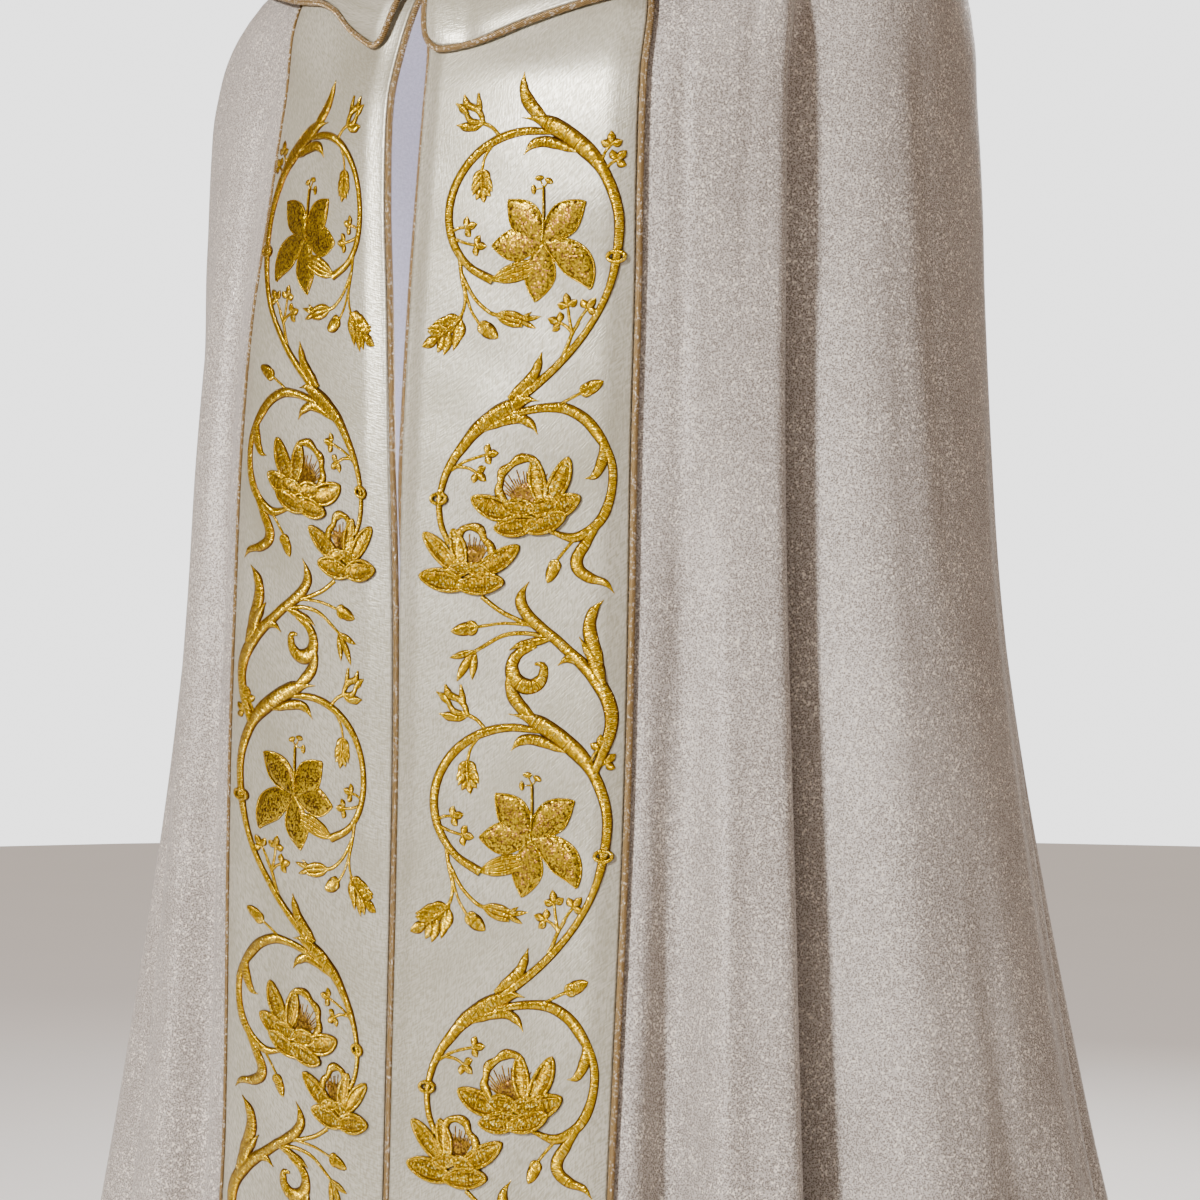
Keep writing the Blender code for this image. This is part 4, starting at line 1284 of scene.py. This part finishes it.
# ---- the pieces ----------------------------------------------------------------------------------------
BODY_ROWS = np.concatenate((np.linspace(NECK_DROP, 0.30, 46), np.linspace(0.308, 1.384, 118)))
HEM_ROWS = np.array([1.3865, 1.388, 1.3895, 1.391, 1.3925, 1.400, 1.410, 1.417, 1.4192, HEM_DROP])
HEM_STITCH = 1.3895  # drop of the stitch line that holds the turned hem
HEM_DENT, HEM_DENT_REACH = 0.0007, 0.0012  # how deep it pulls the cloth in, and how far up and down
SHOWN_WALL = BODY_WALL - 0.0004  # the cloth's own wall, a little thinner than its solid's
BODY_SHARES = np.linspace(0.0, 1.0, 236)
UNDER_BAND = (BAND_WIDTH + 0.6 * PIPING_LEDGE, 12)  # where the cloth under the band ends, and its columns
BAND_ROWS = np.linspace(NECK_DROP, HEM_DROP, 330)
BAND_COLUMNS = np.concatenate(
    (np.linspace(0, PUFF_FRONT, 10), np.linspace(0.018, 0.124, 20), np.linspace(0.127, BAND_WIDTH, 15))
)


def body(side):
    """One half of the cloak, with its turned hem."""
    drops = np.concatenate((BODY_ROWS, HEM_ROWS))
    band = np.linspace(FRONTS[side].body_start, *UNDER_BAND)
    grid = np.array([
        np.vstack((cloth_row(side, drop, band)[0], folded_row(side, drop, BODY_SHARES))) for drop in drops
    ])
    normals = unit(side * np.cross(np.gradient(grid, axis=0), np.gradient(grid, axis=1)))
    dent = HEM_DENT * np.exp(-(((drops - HEM_STITCH) / HEM_DENT_REACH) ** 2))
    grid = grid + (0.5 * BODY_WALL - dent)[:, None, None] * normals
    grid[:, -1, 0] = side * SEAM_CLOSED
    finishes = [finish(lame_crepe), finish(plain_lining)]
    made = grid_mesh(f"cope_cloth_{SIDES[side]}", on_cloth(grid), finishes, side < 0)
    thicken(made, SHOWN_WALL, 1)
    return piece(made, "lame_crepe", f"cope_{SIDES[side]}")


def orphrey(side):
    """One satin band."""
    rows = []
    for drop in BAND_ROWS:
        points, normals, _ = cloth_row(side, drop, BAND_COLUMNS)
        rows.append(points + band_lift(BAND_COLUMNS, drop)[:, None] * normals)
    name = f"orphrey_satin_{SIDES[side]}"
    made = grid_mesh(name, on_cloth(np.array(rows)), [finish(duchess_satin)], side < 0)
    thicken(made, SATIN_WALL)
    return piece(made, "duchess_satin", f"orphrey_{SIDES[side]}")


def embroidery(side):
    """The gold vine on one band: as many repeats as fit, and a closing curl above the hem."""
    colours, sizes = chosen()
    whole = lily_scroll() + rose_scroll() + tendrils()
    repeats = [(0, whole), (1, whole), (2, whole), (2, closing())]
    finishes = {
        "satin": finish(gold_stitch, "gold_thread_satin_stitch", 0.45, 0.19),
        "filling": finish(gold_stitch, "gold_thread_long_and_short", 0.3, 0.23, True),
        "stipple": finish(stipple_stitch, "gold_thread_short_filling", tuple(colours.dull_gold), 0.85),
        "stamens": finish(stipple_stitch, "copper_thread_short_filling", tuple(colours.copper), 0.8),
    }
    grids = sewn(side, repeats, sizes.repeat, list(finishes))
    made = grid_mesh(f"vine_embroidery_{SIDES[side]}", grids, finishes.values(), side < 0)
    return piece(made, "gold_trim")


def cord_line(side, distance, lift, peep):
    """Centres and cloth normals of a cord down the front, at that distance from the satin's edge."""
    centres, normals = [], []
    for drop in np.linspace(NECK_DROP, HEM_DROP, CORD_POINTS):
        out = peep * smoothstep((row_at(RINGS, drop).gap - PEEP_GAP) / PEEP_GAP)
        point, normal, _ = cloth_row(side, drop, np.array([distance - out]))
        centres.append(point[0] + lift * normal[0])
        normals.append(normal[0])
    return np.array(centres), np.array(normals)


def pipings(side):
    """The cords down the front edge and beside the orphrey's outer edge."""
    front = FRONTS[side]
    clear = PIPING_CLEAR + front.outer_radius
    peep = PIPING_PEEP if side > 0 else 0.0
    lines = {
        "front_piping": (-front.piping_out, 0.5 * (SEAM + SATIN_WALL) - front.piping_sink, peep),
        "outer_piping": (BAND_WIDTH + clear, 0.5 * BODY_WALL + clear, 0.0),
    }
    radii = {"front_piping": PIPING_RADIUS, "outer_piping": front.outer_radius}
    for name, line in lines.items():
        node = f"{name}_{SIDES[side]}"
        made = tube_mesh(f"{node}_cord", *cord_line(side, *line), radii[name], finish(lame_cord))
        piece(made, "gold_trim", node)


def cloth_point(side, drop, distance, lift):
    """(point, normal) at one place, moved out by lift."""
    points, normals, _ = cloth_row(side, drop, np.array([distance]))
    return points[0] + lift * normals[0], normals[0]


def collar_distance(side, drop, share):
    """Distance along the ring of a column of the collar, from its own front edge to the centre back."""
    front = FRONTS[side]
    fall = (drop - NECK_DROP) / (COLLAR_EDGE[side][0].drop - NECK_DROP)
    start = front.collar_top + (front.collar_corner - front.collar_top) * max(fall, 0.0)
    return start + share * (oval(side, drop).along[-1] - start)


def collar_edge_drop(side, share):
    """Front drop of the outer edge at a column, rounded up at the front corner."""
    drop = row_at(COLLAR_EDGE[side], share).drop
    radius = FRONTS[side].corner_radius
    inside = collar_distance(side, drop, share) - collar_distance(side, drop, 0.0)
    if inside < radius:
        drop -= radius * (1 - math.sqrt(max(1 - (1 - inside / radius) ** 2, 0.0)))
    return drop


COLLAR_SHARES = np.concatenate((np.linspace(0, 0.05, 34)[:-1], np.linspace(0.05, 0.2, 24)[:-1],
                                np.linspace(0.2, 1.0, 56)))
COLLAR_FALL = np.concatenate((np.linspace(0.10, 0.9, 22), (0.94, 0.97, 0.985, 1.0)))
ROLL_TURNS = np.linspace(20, 180, 9)
COLLAR_PUFF = 0.0012  # the satin stands up a little inside the collar's piped edge
COLLAR_PUFF_REACH = 0.008  # distance from the edge at which it does
COLLAR_DEPTH = 0.09  # from the roll to the edge, about
CORD_STEP, CORD_NEAREST = 0.0022, 0.0002  # distance between the piping's points, and the least of the edge's
FRONT_FALLS = np.linspace(0.18, 0.97, 24)  # stretch of the front edge that the piping follows
COLLAR_CREASE = (0.028, 0.010, 0.0026)  # on the wearer's left: distance from the edge, half width, depth


def collar_lift(side, drop, share, fall):
    """How far the fall's outer face lies over the middle of the body's wall."""
    inside = collar_distance(side, drop, share) - collar_distance(side, drop, 0.0)
    below = (1 - fall) * COLLAR_DEPTH
    rise = COLLAR_PUFF * smoothstep(inside / COLLAR_PUFF_REACH) * smoothstep(below / COLLAR_PUFF_REACH)
    if side > 0:
        bed, half, depth = COLLAR_CREASE
        rise -= depth * math.exp(-(((inside - bed) / half) ** 2)) * (0.35 + 0.65 * fall)
    return COLLAR_LIFT + 0.5 * SATIN_WALL + rise


def collar_column(side, share):
    """One column: up the stand, over the roll, and down the fall."""
    distance = collar_distance(side, NECK_DROP, share)
    neck, normal = cloth_point(side, NECK_DROP, distance, 0.0)
    out = unit(np.array((normal[0], normal[1], 0.0)))
    up = np.array((0.0, 0.0, 1.0))
    foot = neck - STAND_INSET * out + SEAM * up
    column = [foot + t * COLLAR_STAND * up for t in np.linspace(0, 1, 6)]
    for turn in np.radians(ROLL_TURNS):
        column.append(column[5] + COLLAR_ROLL * ((1 - math.cos(turn)) * out + math.sin(turn) * up))
    edge = collar_edge_drop(side, share)
    for fall in COLLAR_FALL:
        drop = NECK_DROP + fall * (edge - NECK_DROP)
        lift = collar_lift(side, drop, share, fall)
        column.append(cloth_point(side, drop, collar_distance(side, drop, share), lift)[0])
    return column


def collar():
    """The satin collar in one piece, from the wearer's left front round the neck to the right one."""
    columns = [collar_column(1, share) for share in COLLAR_SHARES]
    columns += [collar_column(-1, share) for share in COLLAR_SHARES[-2::-1]]
    grid = np.array(columns).transpose(1, 0, 2)
    made = grid_mesh("collar_satin", on_cloth(grid), [finish(duchess_satin)])
    thicken(made, SATIN_WALL)
    return piece(made, "duchess_satin", "collar")


def collar_edge(side):
    """The collar's edge on one half, as (point, normal): down the front edge, then along the bottom."""
    stations = [(0.0, fall) for fall in FRONT_FALLS]
    stations += [(share, 1.0) for share in COLLAR_SHARES]
    edge = []
    for share, fall in stations:
        drop = NECK_DROP + fall * (collar_edge_drop(side, share) - NECK_DROP)
        edge.append(cloth_point(side, drop, collar_distance(side, drop, share), COLLAR_LIFT))
    return edge


def collar_piping():
    """The cord sewn round the collar's edge, as one run from front edge to front edge."""
    edge = collar_edge(1)[:-1] + collar_edge(-1)[::-1]
    points, normals = (np.array(part) for part in zip(*edge))
    along = lengths(points)
    keep = np.concatenate(([True], np.diff(along) > CORD_NEAREST))
    points, normals, along = points[keep], normals[keep], lengths(points[keep])
    places = np.arange(0, along[-1], CORD_STEP)
    points = np.stack([np.interp(places, along, points[:, k]) for k in range(3)], axis=1)
    normals = unit(np.stack([np.interp(places, along, normals[:, k]) for k in range(3)], axis=1))
    sideways = unit(np.cross(np.gradient(points, axis=0), normals))
    centres = points + (PIPING_RADIUS + PIPING_GAP) * sideways
    for _ in range(3):  # round off the two front corners
        centres[1:-1] = (centres[:-2] + 2 * centres[1:-1] + centres[2:]) / 4
    made = tube_mesh("collar_piping_cord", centres, normals, PIPING_RADIUS, finish(lame_cord))
    return piece(made, "gold_trim", "collar_piping")


def clasp():
    """The hook and the eye keep their own shapes and take their finish."""
    for name in ("clasp_hook", "clasp_eye"):
        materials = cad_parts[name].data.materials
        materials.clear()
        materials.append(finish(gilt_brass))


# ---- the studio ----------------------------------------------------------------------------------------
VIEW_AZIMUTH = 33.0  # degrees round from the front to the wearer's left
VIEW_DISTANCE = 1.8
VIEW_SIDEWAYS = 0.017
VIEW_HEIGHT = -0.5
VIEW_LENS, SENSOR_WIDTH = 80.481, 36.0  # mm

Lamp = namedtuple("Lamp", "name azimuth elevation distance size power tint")
LAMPS = (
    Lamp("key", -10.0, 25.0, 3.0, 0.34, 165.0, "#FBFBFF"),
    Lamp("fill", 75.0, 20.0, 3.0, 2.4, 8.0, "#FBF6FF"),
    Lamp("back", 195.0, 30.0, 3.2, 2.4, 105.0, "#FFFFFF"),
)
LAMP_TARGET = (0.0, 0.0, -0.55)
GLOW_AT = (0.0, 0.03, -0.40)  # a small lamp inside the hollow, so that the gap between the fronts reads
GLOW_POWER, GLOW_RADIUS = 2.4, 0.06
SUN_STRENGTH, SUN_SPREAD = 1.4, math.radians(30)  # straight down, so that the floor is evenly pale
SKY_LIGHT = "#8A6F56"  # warm and dim, so that the folds keep their depth
SKY_SEEN = "#FFFFFF"
SKY_SEEN_STRENGTH = 2.6
FLOOR_RADIUS = 9.0


def around(azimuth, elevation, distance):
    """A place round the cope, from its middle line: azimuth 0 is in front, 90 at the wearer's left."""
    a, e = math.radians(azimuth), math.radians(elevation)
    return distance * Vector((math.sin(a) * math.cos(e), -math.cos(a) * math.cos(e), math.sin(e)))


def lamps():
    """Three soft discs, an even light from above, and a small lamp inside the hollow."""
    target = Vector(LAMP_TARGET)
    for lamp in LAMPS:
        light = bpy.data.lights.new(lamp.name, "AREA")
        light.shape, light.size = "DISK", lamp.size
        light.energy, light.color = lamp.power, linear(lamp.tint)[:3]
        spot = target + around(lamp.azimuth, lamp.elevation, lamp.distance)
        place(lamp.name, light, spot, (target - spot).to_track_quat("-Z", "Y").to_euler())
    light = bpy.data.lights.new("sun", "SUN")
    light.energy, light.angle = SUN_STRENGTH, SUN_SPREAD
    place("sun", light)
    light = bpy.data.lights.new("glow", "POINT")
    light.energy, light.shadow_soft_size = GLOW_POWER, GLOW_RADIUS
    place("glow", light, GLOW_AT).visible_camera = False


def surroundings():
    """The floor, and a world that lights the cope warmly and dimly but is seen as pale."""
    drop = CAD_BOX[0].z - bpy.context.scene.cope_sizes.stage_height
    radii = np.linspace(0.01, FLOOR_RADIUS, 24)[:, None]
    turns = np.linspace(0, 2 * math.pi, 65)[None, :-1]
    disc = np.stack(np.broadcast_arrays(radii * np.cos(turns), radii * np.sin(turns), drop), axis=-1)
    floor = [(0, disc, disc[..., :2])]
    grid_mesh("studio_floor", floor, [finish(painted_board)], closed_across=True)
    world = bpy.data.worlds.new("studio")
    world.use_nodes = True
    tree = world.node_tree
    seen = add(tree, "ShaderNodeLightPath").outputs["Is Camera Ray"]
    tint = add(
        tree, "ShaderNodeMix", {"Factor": seen, "A": linear(SKY_LIGHT), "B": linear(SKY_SEEN)},
        data_type="RGBA",
    )
    bright = add(
        tree, "ShaderNodeMapRange", {"Value": seen, "To Min": 1.0, "To Max": SKY_SEEN_STRENGTH}
    )
    feed(tree, tree.nodes["Background"], {"Color": tint, "Strength": bright})
    bpy.context.scene.world = world


def camera():
    """A level camera before the wearer's left front."""
    data = bpy.data.cameras.new("camera")
    data.lens, data.sensor_width = VIEW_LENS, SENSOR_WIDTH
    data.clip_start, data.clip_end = 0.05, 60.0
    turn = math.radians(VIEW_AZIMUTH)
    spot = around(VIEW_AZIMUTH, 0, VIEW_DISTANCE) + around(VIEW_AZIMUTH + 90, 0, VIEW_SIDEWAYS)
    spot.z = VIEW_HEIGHT
    bpy.context.scene.camera = place("camera", data, spot, (math.radians(90), 0, turn))


# ---- operators, panel and main ---------------------------------------------------------------------------
class COPE_OT_body(bpy.types.Operator):
    """Make both halves of the cloak"""

    bl_idname = "cope.body"
    bl_label = "Body halves"

    def execute(self, context):
        for side in SIDES:
            body(side)
        return {"FINISHED"}


class COPE_OT_orphreys(bpy.types.Operator):
    """Make the two satin bands"""

    bl_idname = "cope.orphreys"
    bl_label = "Orphreys"

    def execute(self, context):
        for side in SIDES:
            orphrey(side)
        return {"FINISHED"}


class COPE_OT_embroidery(bpy.types.Operator):
    """Sew the gold vine on both bands"""

    bl_idname = "cope.embroidery"
    bl_label = "Embroidery"

    def execute(self, context):
        for side in SIDES:
            embroidery(side)
        return {"FINISHED"}


class COPE_OT_piping(bpy.types.Operator):
    """Make the cords of the fronts and of the collar"""

    bl_idname = "cope.piping"
    bl_label = "Piping"

    def execute(self, context):
        for side in SIDES:
            pipings(side)
        collar_piping()
        return {"FINISHED"}


class COPE_OT_collar(bpy.types.Operator):
    """Make the turned-down collar"""

    bl_idname = "cope.collar"
    bl_label = "Collar"

    def execute(self, context):
        collar()
        return {"FINISHED"}


class COPE_OT_clasp(bpy.types.Operator):
    """Finish the hook and the eye"""

    bl_idname = "cope.clasp"
    bl_label = "Clasp"

    def execute(self, context):
        clasp()
        return {"FINISHED"}


class COPE_OT_studio(bpy.types.Operator):
    """Set up the floor, the lights and the camera"""

    bl_idname = "cope.studio"
    bl_label = "Studio"

    def execute(self, context):
        surroundings()
        lamps()
        camera()
        return {"FINISHED"}


STEPS = (
    COPE_OT_body,
    COPE_OT_orphreys,
    COPE_OT_embroidery,
    COPE_OT_piping,
    COPE_OT_collar,
    COPE_OT_clasp,
    COPE_OT_studio,
)


class COPE_PT_panel(bpy.types.Panel):
    """Lists the steps and the settings"""

    bl_idname = "COPE_PT_panel"
    bl_label = "Cope vestment"
    bl_space_type = "VIEW_3D"
    bl_region_type = "UI"
    bl_category = "Cope"

    def draw(self, context):
        for step in STEPS:
            self.layout.operator(step.bl_idname)
        for group in (context.scene.cope_colours, context.scene.cope_sizes):
            box = self.layout.box()
            for name in group.bl_rna.properties.keys():
                if name not in {"rna_type", "name"}:
                    box.prop(group, name)


CLASSES = (CopeColours, CopeSizes, *STEPS, COPE_PT_panel)


def register():
    for cls in CLASSES:
        bpy.utils.register_class(cls)
    bpy.types.Scene.cope_colours = bpy.props.PointerProperty(type=CopeColours)
    bpy.types.Scene.cope_sizes = bpy.props.PointerProperty(type=CopeSizes)


def unregister():
    del bpy.types.Scene.cope_colours
    del bpy.types.Scene.cope_sizes
    for cls in reversed(CLASSES):
        bpy.utils.unregister_class(cls)


def main():
    """Makes every piece and the studio."""
    register()
    for step in STEPS:
        group, name = step.bl_idname.split(".")
        getattr(getattr(bpy.ops, group), name)()


if __name__ == "__main__":
    main()
